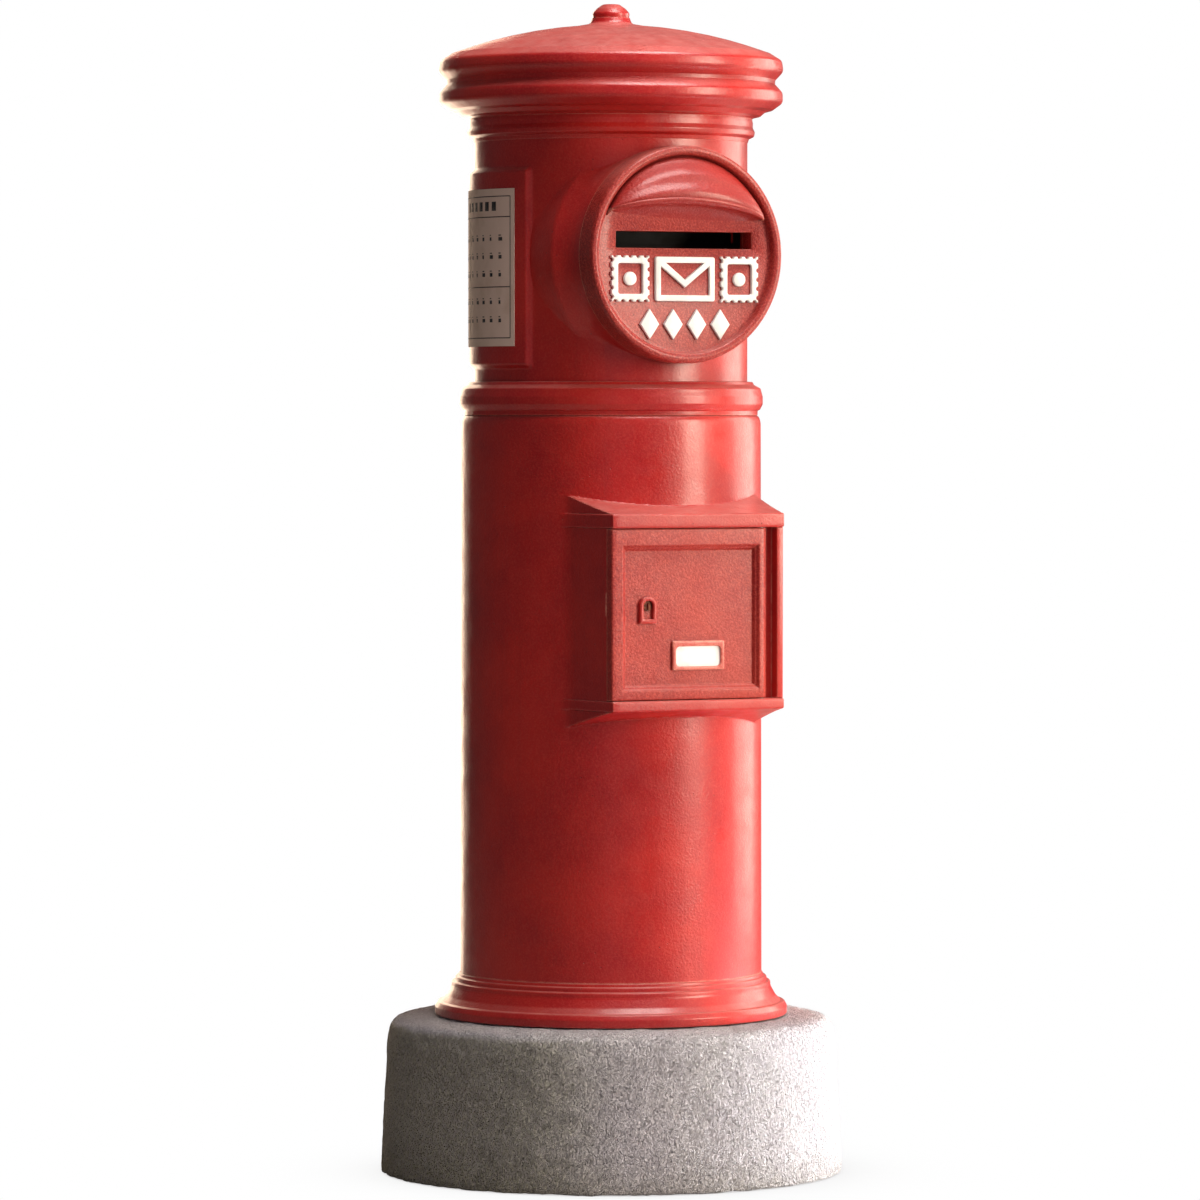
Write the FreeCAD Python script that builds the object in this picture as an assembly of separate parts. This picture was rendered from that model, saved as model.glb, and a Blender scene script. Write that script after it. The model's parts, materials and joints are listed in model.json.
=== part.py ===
"""Cast-iron pillar post box on a round concrete base: trunk, roof, posting mouth, door and lock.

Millimetres. +Z is up, the front faces -Y and the origin is the centre of the base's underside.
Every piece is a closed solid in its own STEP file.
"""

import FreeCAD, Part
import math
import os

# --- Driving dimensions ------------------------------------------------------------------------

base_height = 210.0
base_top_radius = 299.0
base_foot_radius = 309.0
base_edge_radius = 30.0
base_foot_rounding = 6.0

trunk_foot_radius = 201.0
trunk_shoulder_radius = 199.5
upper_radius = 181.5
lower_wall = 9.0
upper_wall = 8.0
flange_inner_radius = 150.0
flange_thickness = 12.0

foot_height = 56.0
waist_bottom = 798.0
waist_top = 843.0
neck_bottom = 1160.0
neck_top = 1192.0
roof_flange_top = 1212.0
dome_top = 1317.0
knob_seat = 1326.5
knob_top = 1345.0

mouth_height = 1008.0
mouth_radius = 142.0
mouth_plate_back = 193.0
mouth_plate_face = 203.0
mouth_rim_front = 214.0
mouth_rim_width = 14.0
slot_height = 1027.0
slot_width = 201.0
slot_opening = 22.0
slot_throat_back = 178.0
slot_throat_half_width = 103.5
slot_throat_wall = 3.0

card_middle_angle = 172.0
pad_half_angle = 36.0
pad_bottom = 858.0
pad_top = 1126.0
pad_radius = 188.5
pad_edge_radius = 5.0
sheet_half_angle = 28.0
sheet_bottom = 889.0
sheet_top = 1096.0
sheet_thickness = 1.5

housing_front = 243.0
housing_half_width = 128.0
housing_bottom = 414.0
housing_top = 671.0
housing_slope = 20.0
housing_wall = 12.0
sill_top = 428.0
lintel_bottom = 652.0
ledge_proud = 2.0

door_thickness = 14.0
door_gap = 0.6
door_left = -128.0
door_right = 103.0
door_panel_depth = 8.0
door_bevel = 6.0
hinge_pin_radius = 4.0
hinge_pin_depth = 12.0
running_clearance = 0.06

lock_x = -72.0
lock_height = 551.0
plug_radius = 6.4
bolt_throw = 10.0

rest_gap = 0.3


# --- Helpers -----------------------------------------------------------------------------------


def up(height):
    """Height above the concrete, as a height above the ground."""
    return base_height + height


def vector(x, y, z):
    return FreeCAD.Vector(x, y, z)


upward = vector(0, 0, 1)
backward = vector(0, 1, 0)
sideways = vector(1, 0, 0)


def outline(place, start, steps):
    """Closed face from a start and steps: a point is a straight run, a pair of points is an arc
    through the first to the second. place turns the two numbers of a point into a vector."""
    edges = []
    here = place(*start)
    for step in [*steps, start]:
        is_arc = isinstance(step[0], tuple)
        there = place(*(step[1] if is_arc else step))
        if is_arc:
            edges.append(Part.Arc(here, place(*step[0]), there).toShape())
        elif not here.isEqual(there, 1e-7):
            edges.append(Part.LineSegment(here, there).toShape())
        here = there
    return Part.Face(Part.Wire(edges))


def turned(start, steps):
    """Solid of revolution about the vertical axis, from (radius, height above concrete) points."""
    face = outline(lambda r, z: vector(r, 0, up(z)), start, steps)
    return face.revolve(vector(0, 0, 0), upward, 360)


def turned_on_mouth(start, steps):
    """Solid of revolution about the mouth's axis, from (radius, distance to the front) points."""
    face = outline(lambda r, d: vector(r, -d, up(mouth_height)), start, steps)
    return face.revolve(vector(0, 0, up(mouth_height)), backward, 360)


def block(x_low, x_high, y_low, y_high, z_low, z_high):
    """Box between limits; its heights are above the concrete."""
    corner = vector(x_low, y_low, up(z_low))
    return Part.makeBox(x_high - x_low, y_high - y_low, z_high - z_low, corner)


def rod(radius, low, high, x, y):
    """Vertical cylinder between two heights above the concrete."""
    return Part.makeCylinder(radius, high - low, vector(x, y, up(low)), upward)


def rod_back(radius, front, depth, x, z):
    """Cylinder that runs backwards from y = front."""
    return Part.makeCylinder(radius, depth, vector(x, front, up(z)), backward)


def hexagon(width, low, high, x, y):
    """Vertical hexagonal prism of a given width across flats."""
    corner_radius = width / math.sqrt(3)
    corners = [
        vector(
            x + corner_radius * math.cos(math.radians(60 * i)),
            y + corner_radius * math.sin(math.radians(60 * i)),
            up(low),
        )
        for i in range(7)
    ]
    return Part.Face(Part.makePolygon(corners)).extrude(vector(0, 0, high - low))


def hexagon_back(width, front, depth, x, z):
    """Hexagonal prism that runs backwards from y = front."""
    prism = hexagon(width, -base_height, depth - base_height, 0, 0)
    prism.rotate(vector(0, 0, 0), sideways, -90)
    prism.translate(vector(x, front, up(z)))
    return prism


def ring_places(count, radius, first_angle):
    """Evenly spaced (x, y) places on a circle."""
    angles = [math.radians(first_angle + 360 * i / count) for i in range(count)]
    return [(radius * math.cos(a), radius * math.sin(a)) for a in angles]


def cut_all(shape, tools):
    for tool in tools:
        shape = shape.cut(tool)
    return shape


def group(solids):
    return Part.makeCompound(solids)


def arc_middle(centre, radius, degrees):
    """Point on a circle, for the middle of an arc."""
    angle = math.radians(degrees)
    return (centre[0] + radius * math.cos(angle), centre[1] + radius * math.sin(angle))


def sector(inner, outer, low, high, half_angle):
    """Curved plate on the trunk's side, centred on the timetable's direction."""
    base = vector(0, 0, up(low))
    height = high - low
    plate = Part.makeCylinder(outer, height, base, upward, 2 * half_angle)
    plate = plate.cut(Part.makeCylinder(inner, height, base, upward, 360))
    plate.rotate(vector(0, 0, 0), upward, card_middle_angle - half_angle)
    return plate


# --- Concrete base and its anchors ---------------------------------------------------------------

anchor_circle = 169.0
anchor_radius = 8.0
anchor_depth = 120.0
anchor_washer = 3.0
anchor_nut = 13.0
anchor_nut_width = 24.0
anchor_places = ring_places(4, anchor_circle, 45)
foot_plate = 14.0


def make_concrete_base():
    edge = base_edge_radius
    edge_centre = (base_top_radius - edge, -edge)
    rounding = base_foot_rounding
    foot_centre = (base_foot_radius - rounding, rounding - base_height)
    base = turned(
        (0, -base_height),
        [
            (base_foot_radius - rounding, -base_height),
            (arc_middle(foot_centre, rounding, -45), (base_foot_radius, rounding - base_height)),
            (base_top_radius, -edge),
            (arc_middle(edge_centre, edge, 45), (base_top_radius - edge, 0)),
            (0, 0),
        ],
    )
    holes = [rod(anchor_radius + 0.2, -anchor_depth, 1, x, y) for x, y in anchor_places]
    return cut_all(base, holes)


def make_anchor_bolts():
    top = foot_plate + anchor_washer + anchor_nut + 6
    return group([rod(anchor_radius, 0.5 - anchor_depth, top, x, y) for x, y in anchor_places])


def make_anchor_washers():
    top = foot_plate + anchor_washer
    washers = []
    for x, y in anchor_places:
        washers.append(rod(15.0, foot_plate, top, x, y).cut(rod(8.5, foot_plate, top, x, y)))
    return group(washers)


def make_anchor_nuts():
    low = foot_plate + anchor_washer
    high = low + anchor_nut
    nuts = []
    for x, y in anchor_places:
        bore = rod(anchor_radius + 0.1, low, high, x, y)
        nuts.append(hexagon(anchor_nut_width, low, high, x, y).cut(bore))
    return group(nuts)


# --- Fasteners of the castings -------------------------------------------------------------------

bolt_radius = 5.0
bolt_hole_radius = 5.5
bolt_head_width = 16.0
bolt_head = 6.4
nut_height = 8.0
trunk_bolt_circle = 161.5
foot_bolt_places = ring_places(8, trunk_bolt_circle, 22.5)
waist_bolt_places = ring_places(8, trunk_bolt_circle, 22.5)
roof_bolt_places = ring_places(6, trunk_bolt_circle, 30)


def make_bolts(places, head_bottom, tip):
    """Hexagon bolts with the head on top, or below where the tip is above the head."""
    bolts = []
    for x, y in places:
        if tip < head_bottom:
            head = hexagon(bolt_head_width, head_bottom, head_bottom + bolt_head, x, y)
            bolts.append(head.fuse(rod(bolt_radius, tip, head_bottom, x, y)))
        else:
            head = hexagon(bolt_head_width, head_bottom - bolt_head, head_bottom, x, y)
            bolts.append(head.fuse(rod(bolt_radius, head_bottom, tip, x, y)))
    return group(bolts)


def make_nuts(places, low):
    nuts = []
    for x, y in places:
        bore = rod(bolt_radius + 0.1, low, low + nut_height, x, y)
        nuts.append(hexagon(bolt_head_width, low, low + nut_height, x, y).cut(bore))
    return group(nuts)


def bolt_holes(places, low, high):
    return [rod(bolt_hole_radius, low, high, x, y) for x, y in places]


# --- Foot ring -----------------------------------------------------------------------------------


def make_foot_ring():
    web_inner = 188.0
    top_flange = foot_height - flange_thickness
    ring = turned(
        (flange_inner_radius, 0),
        [
            (235, 0),
            (235, 11),
            ((232.6, 16), (226, 18.5)),
            ((217.5, 27.5), (213, 38)),
            ((214, 41.5), (212, 45)),
            (207.6, 45.6),
            ((208.6, 48.5), (206.6, 51.6)),
            (203.6, 52.2),
            (trunk_foot_radius, foot_height),
            (flange_inner_radius, foot_height),
            (flange_inner_radius, top_flange),
            (web_inner, top_flange),
            (web_inner, foot_plate),
            (flange_inner_radius, foot_plate),
        ],
    )
    anchor_holes = [rod(9.0, -1, foot_plate + 1, x, y) for x, y in anchor_places]
    joint_holes = bolt_holes(foot_bolt_places, top_flange - 1, foot_height + 1)
    return cut_all(ring, anchor_holes + joint_holes)


# --- Lower trunk with the door housing -----------------------------------------------------------

opening_left = -116.0
opening_right = 88.0
opening_bottom = 436.0
opening_top = 645.0
seat_depth = housing_front - door_thickness - 0.5
hinge_x = door_right - door_thickness / 2
hinge_y = -(housing_front - door_thickness / 2)
strip_left = 117.0
strip_right = 126.0
lug_height = 30.0
lug_radius = 24.0
lug_circle = 179.0
floor_thickness = 3.0
floor_screw_circle = 172.0
floor_screw_places = ring_places(4, floor_screw_circle, 45)


def make_trunk_shell():
    inner = trunk_foot_radius - lower_wall
    low_flange = foot_height + flange_thickness
    high_flange = waist_bottom - flange_thickness
    return turned(
        (flange_inner_radius, foot_height),
        [
            (trunk_foot_radius, foot_height),
            (trunk_shoulder_radius, 782),
            ((198.2, 790), (194, 797)),
            (194, waist_bottom),
            (flange_inner_radius, waist_bottom),
            (flange_inner_radius, high_flange),
            (inner, high_flange),
            (inner, low_flange),
            (flange_inner_radius, low_flange),
        ],
    )


def make_housing_block():
    """Projecting box of the doorway, with sloping top and bottom that run into the trunk."""
    reach = 140.0
    side = outline(
        lambda d, z: vector(-housing_half_width, -d, up(z)),
        (seat_depth, housing_bottom),
        [
            (seat_depth, housing_top),
            ((196, housing_top + 7), (reach, housing_top + housing_slope)),
            (reach, housing_bottom - housing_slope),
            ((196, housing_bottom - 7), (seat_depth, housing_bottom)),
        ],
    )
    return side.extrude(vector(2 * housing_half_width, 0, 0))


def make_ledges():
    """Sill and lintel in front of the door's seat, and the strip beside the hinge."""
    front = -(housing_front + ledge_proud)
    edge = housing_half_width + 1
    sill = block(-edge, edge, front, -seat_depth, housing_bottom, sill_top)
    lintel = block(-edge, edge, front, -seat_depth, lintel_bottom, housing_top)
    strip = block(strip_left, strip_right, -housing_front, -seat_depth, sill_top, lintel_bottom)
    return [sill, lintel, strip]


def make_floor_lugs(inner):
    """Cast lugs inside the wall that carry the letter floor."""
    top = opening_bottom - floor_thickness
    keep = rod(inner + 2, top - lug_height, top, 0, 0)
    places = ring_places(4, lug_circle, 45)
    return [rod(lug_radius, top - lug_height, top, x, y).common(keep) for x, y in places]


def make_lower_trunk():
    inner = trunk_foot_radius - lower_wall
    hollow = rod(inner, foot_height + flange_thickness, waist_bottom - flange_thickness, 0, 0)
    housing = make_housing_block().cut(hollow)
    trunk = make_trunk_shell().fuse(housing)
    for ledge in make_ledges():
        trunk = trunk.fuse(ledge)
    for lug in make_floor_lugs(inner):
        trunk = trunk.fuse(lug)
    trunk = trunk.cut(block(opening_left, opening_right, -260, -100, opening_bottom, opening_top))
    pin = hinge_pin_depth
    trunk = trunk.cut(rod(hinge_pin_radius, lintel_bottom - 1, lintel_bottom + pin, hinge_x, hinge_y))
    trunk = trunk.cut(rod(hinge_pin_radius, sill_top - pin, sill_top + 1, hinge_x, hinge_y))
    trunk = trunk.cut(make_keeper_pocket())
    low_flange = foot_height + flange_thickness
    high_flange = waist_bottom - flange_thickness
    trunk = cut_all(trunk, bolt_holes(foot_bolt_places, foot_height - 1, low_flange + 1))
    trunk = cut_all(trunk, bolt_holes(waist_bolt_places, high_flange - 1, waist_bottom + 1))
    top = opening_bottom - floor_thickness
    screw_holes = [rod(3.1, top - 20, top + 1, x, y) for x, y in floor_screw_places]
    return cut_all(trunk, screw_holes + keeper_screw_holes()).removeSplitter()


# --- Letter floor --------------------------------------------------------------------------------


def make_letter_floor():
    low = opening_bottom - floor_thickness
    floor = rod(trunk_foot_radius - lower_wall - 1, low, opening_bottom, 0, 0)
    return cut_all(floor, [rod(3.4, low - 1, opening_bottom + 1, x, y) for x, y in floor_screw_places])


def make_floor_screws():
    low = opening_bottom
    screws = []
    for x, y in floor_screw_places:
        head = rod(5.5, low, low + 4, x, y)
        screws.append(head.fuse(rod(3.0, low - 18, low, x, y)))
    return group(screws)


# --- Waist, neck and roof ------------------------------------------------------------------------


def make_waist_ring():
    seat = waist_bottom + flange_thickness
    ring = turned(
        (flange_inner_radius, waist_bottom),
        [
            (195.6, waist_bottom),
            (195.6, 803),
            ((200.2, 810), (202, 819)),
            ((199.2, 831), (190, 839)),
            (upper_radius + rest_gap, waist_top),
            (upper_radius + rest_gap, seat),
            (flange_inner_radius, seat),
        ],
    )
    return cut_all(ring, bolt_holes(waist_bolt_places, waist_bottom - 1, seat + 1))


def make_neck_ring():
    ring = turned(
        (flange_inner_radius, neck_bottom),
        [
            (182, neck_bottom),
            ((188.8, 1162.6), (191.5, 1170)),
            (191.5, 1176),
            ((190.6, 1181.4), (187.6, 1186)),
            (187.6, neck_top),
            (flange_inner_radius, neck_top),
        ],
    )
    return cut_all(ring, bolt_holes(roof_bolt_places, neck_bottom - 1, neck_top + 1))


def make_roof_cap():
    """Shallow dome over a double-bead cornice; the flange below it is drilled blind."""
    boss_bottom = dome_top - 15
    roof = turned(
        (flange_inner_radius, neck_top),
        [
            (188, neck_top),
            ((205, 1198), (223.6, 1207.8)),
            ((228.4, 1219), (220.5, 1235)),
            (217, 1240),
            (220, 1245),
            ((229, 1260), (214, 1277.6)),
            (205, 1283),
            ((123, 1304.5), (48, 1315)),
            ((33, 1318.6), (25, knob_seat)),
            (0, knob_seat),
            (0, boss_bottom),
            (20, boss_bottom),
            (20, 1308),
            ((115, 1297), (198, 1273)),
            (200, roof_flange_top),
            (flange_inner_radius, roof_flange_top),
        ],
    )
    holes = [rod(bolt_radius + 0.1, neck_top - 1, neck_top + 15, x, y) for x, y in roof_bolt_places]
    return cut_all(roof, holes + [rod(8.4, boss_bottom - 1, knob_seat + 1, 0, 0)])


def make_finial_knob():
    stud_bottom = dome_top - 32
    return turned(
        (0, stud_bottom),
        [
            (8, stud_bottom),
            (8, knob_seat),
            (23.8, knob_seat),
            ((24.2, 1332), (20.6, 1337.6)),
            ((12.4, 1343.1), (2, knob_top)),
            (0, knob_top),
        ],
    )


def make_finial_nut():
    high = dome_top - 15
    low = high - 12
    return hexagon(24.0, low, high, 0, 0).cut(rod(8.1, low, high, 0, 0))


# --- Upper trunk with the mouth drum and the timetable pad ---------------------------------------

drum_base_radius = 160.0
drum_front = 193.0
drum_wall = 12.0
window_half_width = 106.0
window_low = 1010.0
window_high = 1044.0
mouth_bolt_places = [(sx * 60.0, mouth_height + sz * 88.0) for sx in (-1, 1) for sz in (-1, 1)]
mouth_bolt_radius = 4.0


def make_upper_shell():
    inner = upper_radius - upper_wall
    seat = waist_bottom + flange_thickness
    return turned(
        (flange_inner_radius, seat),
        [
            (upper_radius, seat),
            (upper_radius, neck_bottom),
            (flange_inner_radius, neck_bottom),
            (flange_inner_radius, neck_bottom - 10),
            (inner, neck_bottom - 10),
            (inner, seat + 10),
            (flange_inner_radius, seat + 10),
        ],
    )


def make_mouth_drum():
    """Short drum in front of the trunk that widens where it runs into the wall."""
    drum = turned_on_mouth(
        (0, drum_front),
        [
            (mouth_radius, drum_front),
            ((146, 172), (drum_base_radius, 150)),
            (drum_base_radius, 90),
            (0, 90),
        ],
    )
    inside = rod(upper_radius - upper_wall, 800, neck_bottom + 20, 0, 0)
    above_neck = block(-200, 200, -250, 0, neck_bottom, neck_bottom + 60)
    return drum.cut(inside).cut(above_neck)


def make_pad():
    """Raised pad that carries the timetable."""
    pad = sector(upper_radius - 3, pad_radius, pad_bottom, pad_top, pad_half_angle)
    return pad.makeFillet(pad_edge_radius, [e for e in pad.Edges if touches_radius(e, pad_radius)])


def touches_radius(edge, radius):
    """True where the whole edge lies at this distance from the vertical axis."""
    first = edge.FirstParameter
    step = (edge.LastParameter - first) / 4
    places = [edge.valueAt(first + step * i) for i in range(5)]
    return all(abs(math.hypot(p.x, p.y) - radius) < 0.01 for p in places)


def make_upper_trunk():
    trunk = make_upper_shell().fuse(make_mouth_drum()).fuse(make_pad())
    recess = rod_back(130.0, drum_wall - drum_front, 90.0, 0, mouth_height)
    window = block(-window_half_width, window_half_width, -250, -150, window_low, window_high)
    bolts = [rod_back(mouth_bolt_radius + 0.5, -drum_front - 1, 20, x, z) for x, z in mouth_bolt_places]
    seat = waist_bottom + flange_thickness
    trunk = cut_all(trunk, [recess, window] + bolts)
    trunk = cut_all(trunk, bolt_holes(waist_bolt_places, seat - 1, seat + 11))
    holes = bolt_holes(roof_bolt_places, neck_bottom - 11, neck_bottom + 1)
    return cut_all(trunk, holes).removeSplitter()


def make_timetable_sheet():
    inner = pad_radius + 0.1
    return sector(inner, inner + sheet_thickness, sheet_bottom, sheet_top, sheet_half_angle)


# --- Posting mouth -------------------------------------------------------------------------------

sheet_metal = 2.0
hood_radius = 127.0
hood_end_height = 1060.0
hood_lip_height = 1081.0
hood_root_height = 1055.0
hood_reach = 36.0
hood_sections = 13
hood_screw_places = [(-70.0, 1083.0), (0.0, 1103.0), (70.0, 1083.0)]
relief_depth = 4.0


def make_slot_plate():
    rim_inner = mouth_radius - mouth_rim_width
    rim_middle = mouth_radius - mouth_rim_width / 2
    rim_side = mouth_rim_front - mouth_rim_width / 2
    plate = turned_on_mouth(
        (0, mouth_plate_back),
        [
            (mouth_radius, mouth_plate_back),
            (mouth_radius, rim_side),
            ((rim_middle, mouth_rim_front), (rim_inner, rim_side)),
            (rim_inner, mouth_plate_face),
            (0, mouth_plate_face),
        ],
    )
    throat_reach = slot_opening / 2 + slot_throat_wall
    throat = block(
        -slot_throat_half_width,
        slot_throat_half_width,
        -mouth_plate_back,
        -slot_throat_back,
        slot_height - throat_reach,
        slot_height + throat_reach,
    )
    slot = block(
        -slot_width / 2,
        slot_width / 2,
        -mouth_rim_front - 1,
        -slot_throat_back + 1,
        slot_height - slot_opening / 2,
        slot_height + slot_opening / 2,
    )
    taps = [rod_back(mouth_bolt_radius + 0.1, -200, 8, x, z) for x, z in mouth_bolt_places]
    clear = [rod_back(2.6, -mouth_plate_face - 1, 12, x, z) for x, z in hood_screw_places]
    sinks = [rod_back(5.2, -mouth_plate_back - 3.2, 4, x, z) for x, z in hood_screw_places]
    return cut_all(plate.fuse(throat), [slot] + taps + clear + sinks)


def hood_section(x, half_width):
    """Closed section of the hood at one distance from its middle: root, attachment and lip."""
    share = math.sqrt(max(0.0, 1 - (x / half_width) ** 2))
    crown = mouth_height + math.sqrt(hood_radius**2 - x**2)
    lip = hood_end_height + (hood_lip_height - hood_end_height) * share**2
    lip_y = -(mouth_plate_face + hood_reach * share)
    root = hood_end_height + (hood_root_height - hood_end_height) * share**2
    root_point = vector(x, -mouth_plate_face, up(root))
    crown_point = vector(x, -mouth_plate_face, up(crown))
    lip_point = vector(x, lip_y, up(lip))
    swell_y = -(mouth_plate_face + 0.62 * hood_reach * share)
    swell_point = vector(x, swell_y, up(lip + 0.55 * (crown - lip)))
    front = Part.Arc(crown_point, swell_point, lip_point).toShape()
    under = Part.LineSegment(lip_point, root_point).toShape()
    back = Part.LineSegment(root_point, crown_point).toShape()
    return Part.Wire([front, under, back])


def make_slot_hood():
    """Shell-shaped visor over the slot, thick in the middle and dying out at both ends."""
    half_width = math.sqrt(hood_radius**2 - (hood_end_height - mouth_height) ** 2)
    spread = [math.sin(math.radians(86 * (2 * i / (hood_sections - 1) - 1))) for i in range(hood_sections)]
    sections = [hood_section(half_width * s, half_width) for s in spread]
    hood = Part.makeLoft(sections, True, False)
    taps = [rod_back(2.1, -mouth_plate_face - 9, 9.5, x, z) for x, z in hood_screw_places]
    return cut_all(hood, taps)


def make_hood_screws():
    screws = []
    for x, z in hood_screw_places:
        head = rod_back(5.0, -mouth_plate_back - 3, 3, x, z)
        shank = rod_back(2.0, -mouth_plate_face - 8, 8 + mouth_plate_face - mouth_plate_back - 3, x, z)
        screws.append(head.fuse(shank))
    return group(screws)


def make_mouth_bolts():
    seat = drum_wall - drum_front + sheet_metal
    bolts = []
    for x, z in mouth_bolt_places:
        head = hexagon_back(13.0, seat, 6.0, x, z)
        bolts.append(head.fuse(rod_back(mouth_bolt_radius, -199.5, 199.5 + seat, x, z)))
    return group(bolts)


def flat_ring(x, z, width, height, stroke):
    """Rectangular raised outline on the plate's face."""
    back = -mouth_plate_face
    outer = block(x - width / 2, x + width / 2, back - relief_depth, back, z - height / 2, z + height / 2)
    inner = block(
        x - width / 2 + stroke,
        x + width / 2 - stroke,
        back - relief_depth - 1,
        back + 1,
        z - height / 2 + stroke,
        z + height / 2 - stroke,
    )
    return outer.cut(inner)


def bar(start, end, stroke):
    """Raised straight stroke between two points of the plate's face."""
    run = math.hypot(end[0] - start[0], end[1] - start[1])
    turn = math.degrees(math.atan2(end[1] - start[1], end[0] - start[0]))
    stroke_bar = Part.makeBox(run, relief_depth, stroke, vector(0, 0, -stroke / 2))
    stroke_bar.rotate(vector(0, 0, 0), backward, -turn)
    stroke_bar.translate(vector(start[0], -mouth_plate_face - relief_depth, up(start[1])))
    return stroke_bar


def make_stamp(x, z):
    """Postage-stamp outline with a scalloped edge and a round spot in its middle."""
    width = 56.0
    height = 60.0
    bites = 5
    stamp = flat_ring(x, z, width, height, 10.0)
    for i in range(bites):
        along_x = x - width / 2 + width * (i + 0.5) / bites
        along_z = z - height / 2 + height * (i + 0.5) / bites
        for place in [
            (along_x, z - height / 2),
            (along_x, z + height / 2),
            (x - width / 2, along_z),
            (x + width / 2, along_z),
        ]:
            stamp = stamp.cut(rod_back(3.0, -mouth_plate_face - 5, 6, *place))
    spot = rod_back(9.0, -mouth_plate_face - relief_depth, relief_depth, x, z)
    return [stamp, spot]


def make_envelope(x, z):
    """Envelope outline with the two strokes of its flap."""
    width = 88.0
    height = 58.0
    stroke = 8.0
    frame = flat_ring(x, z, width, height, stroke)
    tip = (x, z - 6.0)
    for side in (-1, 1):
        corner = (x + side * (width / 2 - stroke / 2), z + height / 2 - stroke / 2)
        frame = frame.fuse(bar(corner, tip, stroke))
    joint = rod_back(stroke / 2, -mouth_plate_face - relief_depth, relief_depth, *tip)
    return [frame.fuse(joint)]


def make_diamond(x, z, half_width, half_height):
    corners = [(x - half_width, z), (x, z + half_height), (x + half_width, z), (x, z - half_height)]
    face = outline(lambda a, b: vector(a, -mouth_plate_face, up(b)), corners[0], corners[1:])
    return face.extrude(vector(0, -relief_depth, 0))


def make_raised_emblems():
    row = 976.0
    side = 81.0
    lower_row = 917.0
    pieces = make_stamp(-side, row) + make_envelope(0, row) + make_stamp(side, row)
    for i in range(4):
        pieces.append(make_diamond(35.0 * (i - 1.5), lower_row, 14.0, 20.0))
    return group(pieces)


# --- Letter chute --------------------------------------------------------------------------------

chute_half_width = 110.0
chute_front = drum_wall - drum_front
chute_flange_radius = 126.0
chute_roof_height = window_high + 4.0
chute_bend_y = -128.0
chute_tail_y = -92.0
chute_tail_drop = 62.0
chute_floor_y = -150.0
chute_floor_drop = 20.0


def chute_strip(half_width, points):
    """Bent sheet across the chute, from (y, height) points and one sheet thick below them."""
    lower = [(y, z - sheet_metal) for y, z in reversed(points)]
    face = outline(lambda y, z: vector(-half_width, y, up(z)), points[0], [*points[1:], *lower])
    return face.extrude(vector(2 * half_width, 0, 0))


def make_chute_flange():
    """Plate clamped behind the drum's front wall, with the letters' window."""
    back = chute_front + sheet_metal
    flange = rod_back(chute_flange_radius, chute_front, sheet_metal, 0, mouth_height)
    reach = 101.0
    flange = flange.common(block(-118, 118, chute_front, back, mouth_height - reach, mouth_height + reach))
    window = block(-window_half_width, window_half_width, chute_front - 1, back + 1, window_low, window_high)
    holes = [rod_back(mouth_bolt_radius + 0.5, chute_front - 1, 4, x, z) for x, z in mouth_bolt_places]
    return cut_all(flange, [window] + holes)


def make_chute_guide():
    """Roof and cheeks behind the window: they turn the letters downwards."""
    start = chute_front + sheet_metal
    tail_height = chute_roof_height - chute_tail_drop
    guide = chute_strip(
        chute_half_width,
        [(start, chute_roof_height), (chute_bend_y, chute_roof_height), (chute_tail_y, tail_height)],
    )
    for left in (-chute_half_width, chute_half_width - sheet_metal):
        cheek = outline(
            lambda y, z: vector(left, y, up(z)),
            (start, window_low - 3),
            [
                (start, chute_roof_height),
                (chute_bend_y, chute_roof_height),
                (chute_tail_y, tail_height),
                (chute_tail_y - 8, tail_height - 8),
                (chute_floor_y, tail_height - 8),
            ],
        )
        guide = guide.fuse(cheek.extrude(vector(sheet_metal, 0, 0)))
    return guide.removeSplitter()


def make_chute_floor():
    """Sloping plate between the cheeks that the letters slide down first."""
    start = chute_front + sheet_metal
    half_width = chute_half_width - sheet_metal - 0.2
    top = window_low - 1
    return chute_strip(half_width, [(start, top), (chute_floor_y, top - chute_floor_drop)])


# --- Door ----------------------------------------------------------------------------------------

door_back = -(housing_front - door_thickness)
panel_face = -(housing_front - door_panel_depth)
panel_left = -111.6
panel_right = 91.0
panel_bottom = 441.0
panel_top = 630.0


def make_panel_recess():
    """Tapered sinking in the door's face."""
    sections = []
    for y, inset in ((-housing_front, 0.0), (panel_face, door_bevel)):
        corners = [
            (panel_left + inset, panel_bottom + inset),
            (panel_right - inset, panel_bottom + inset),
            (panel_right - inset, panel_top - inset),
            (panel_left + inset, panel_top - inset),
        ]
        points = [vector(x, y, up(z)) for x, z in [*corners, corners[0]]]
        sections.append(Part.makePolygon(points))
    return Part.makeLoft(sections, True, True)


def make_door_leaf():
    low = sill_top + door_gap
    high = lintel_bottom - door_gap
    leaf = block(door_left, hinge_x, -housing_front, door_back, low, high)
    leaf = leaf.fuse(rod(door_thickness / 2, low, high, hinge_x, hinge_y))
    corners = [e for e in leaf.Edges if is_upright_at(e, door_left)]
    leaf = leaf.makeFillet(3.0, corners)
    leaf = leaf.cut(make_panel_recess())
    bore = hinge_pin_radius + running_clearance
    depth = hinge_pin_depth + 1
    tools = [
        rod(bore, high - depth, high + 1, hinge_x, hinge_y),
        rod(bore, low - 1, low + depth, hinge_x, hinge_y),
        rod_back(plug_radius + running_clearance, panel_face - 1, 10, lock_x, lock_height),
    ]
    screws = [rod_back(2.1, door_back - 5, 6, x, z) for x, z in lock_screw_places]
    return cut_all(leaf, tools + screws).removeSplitter()


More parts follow.
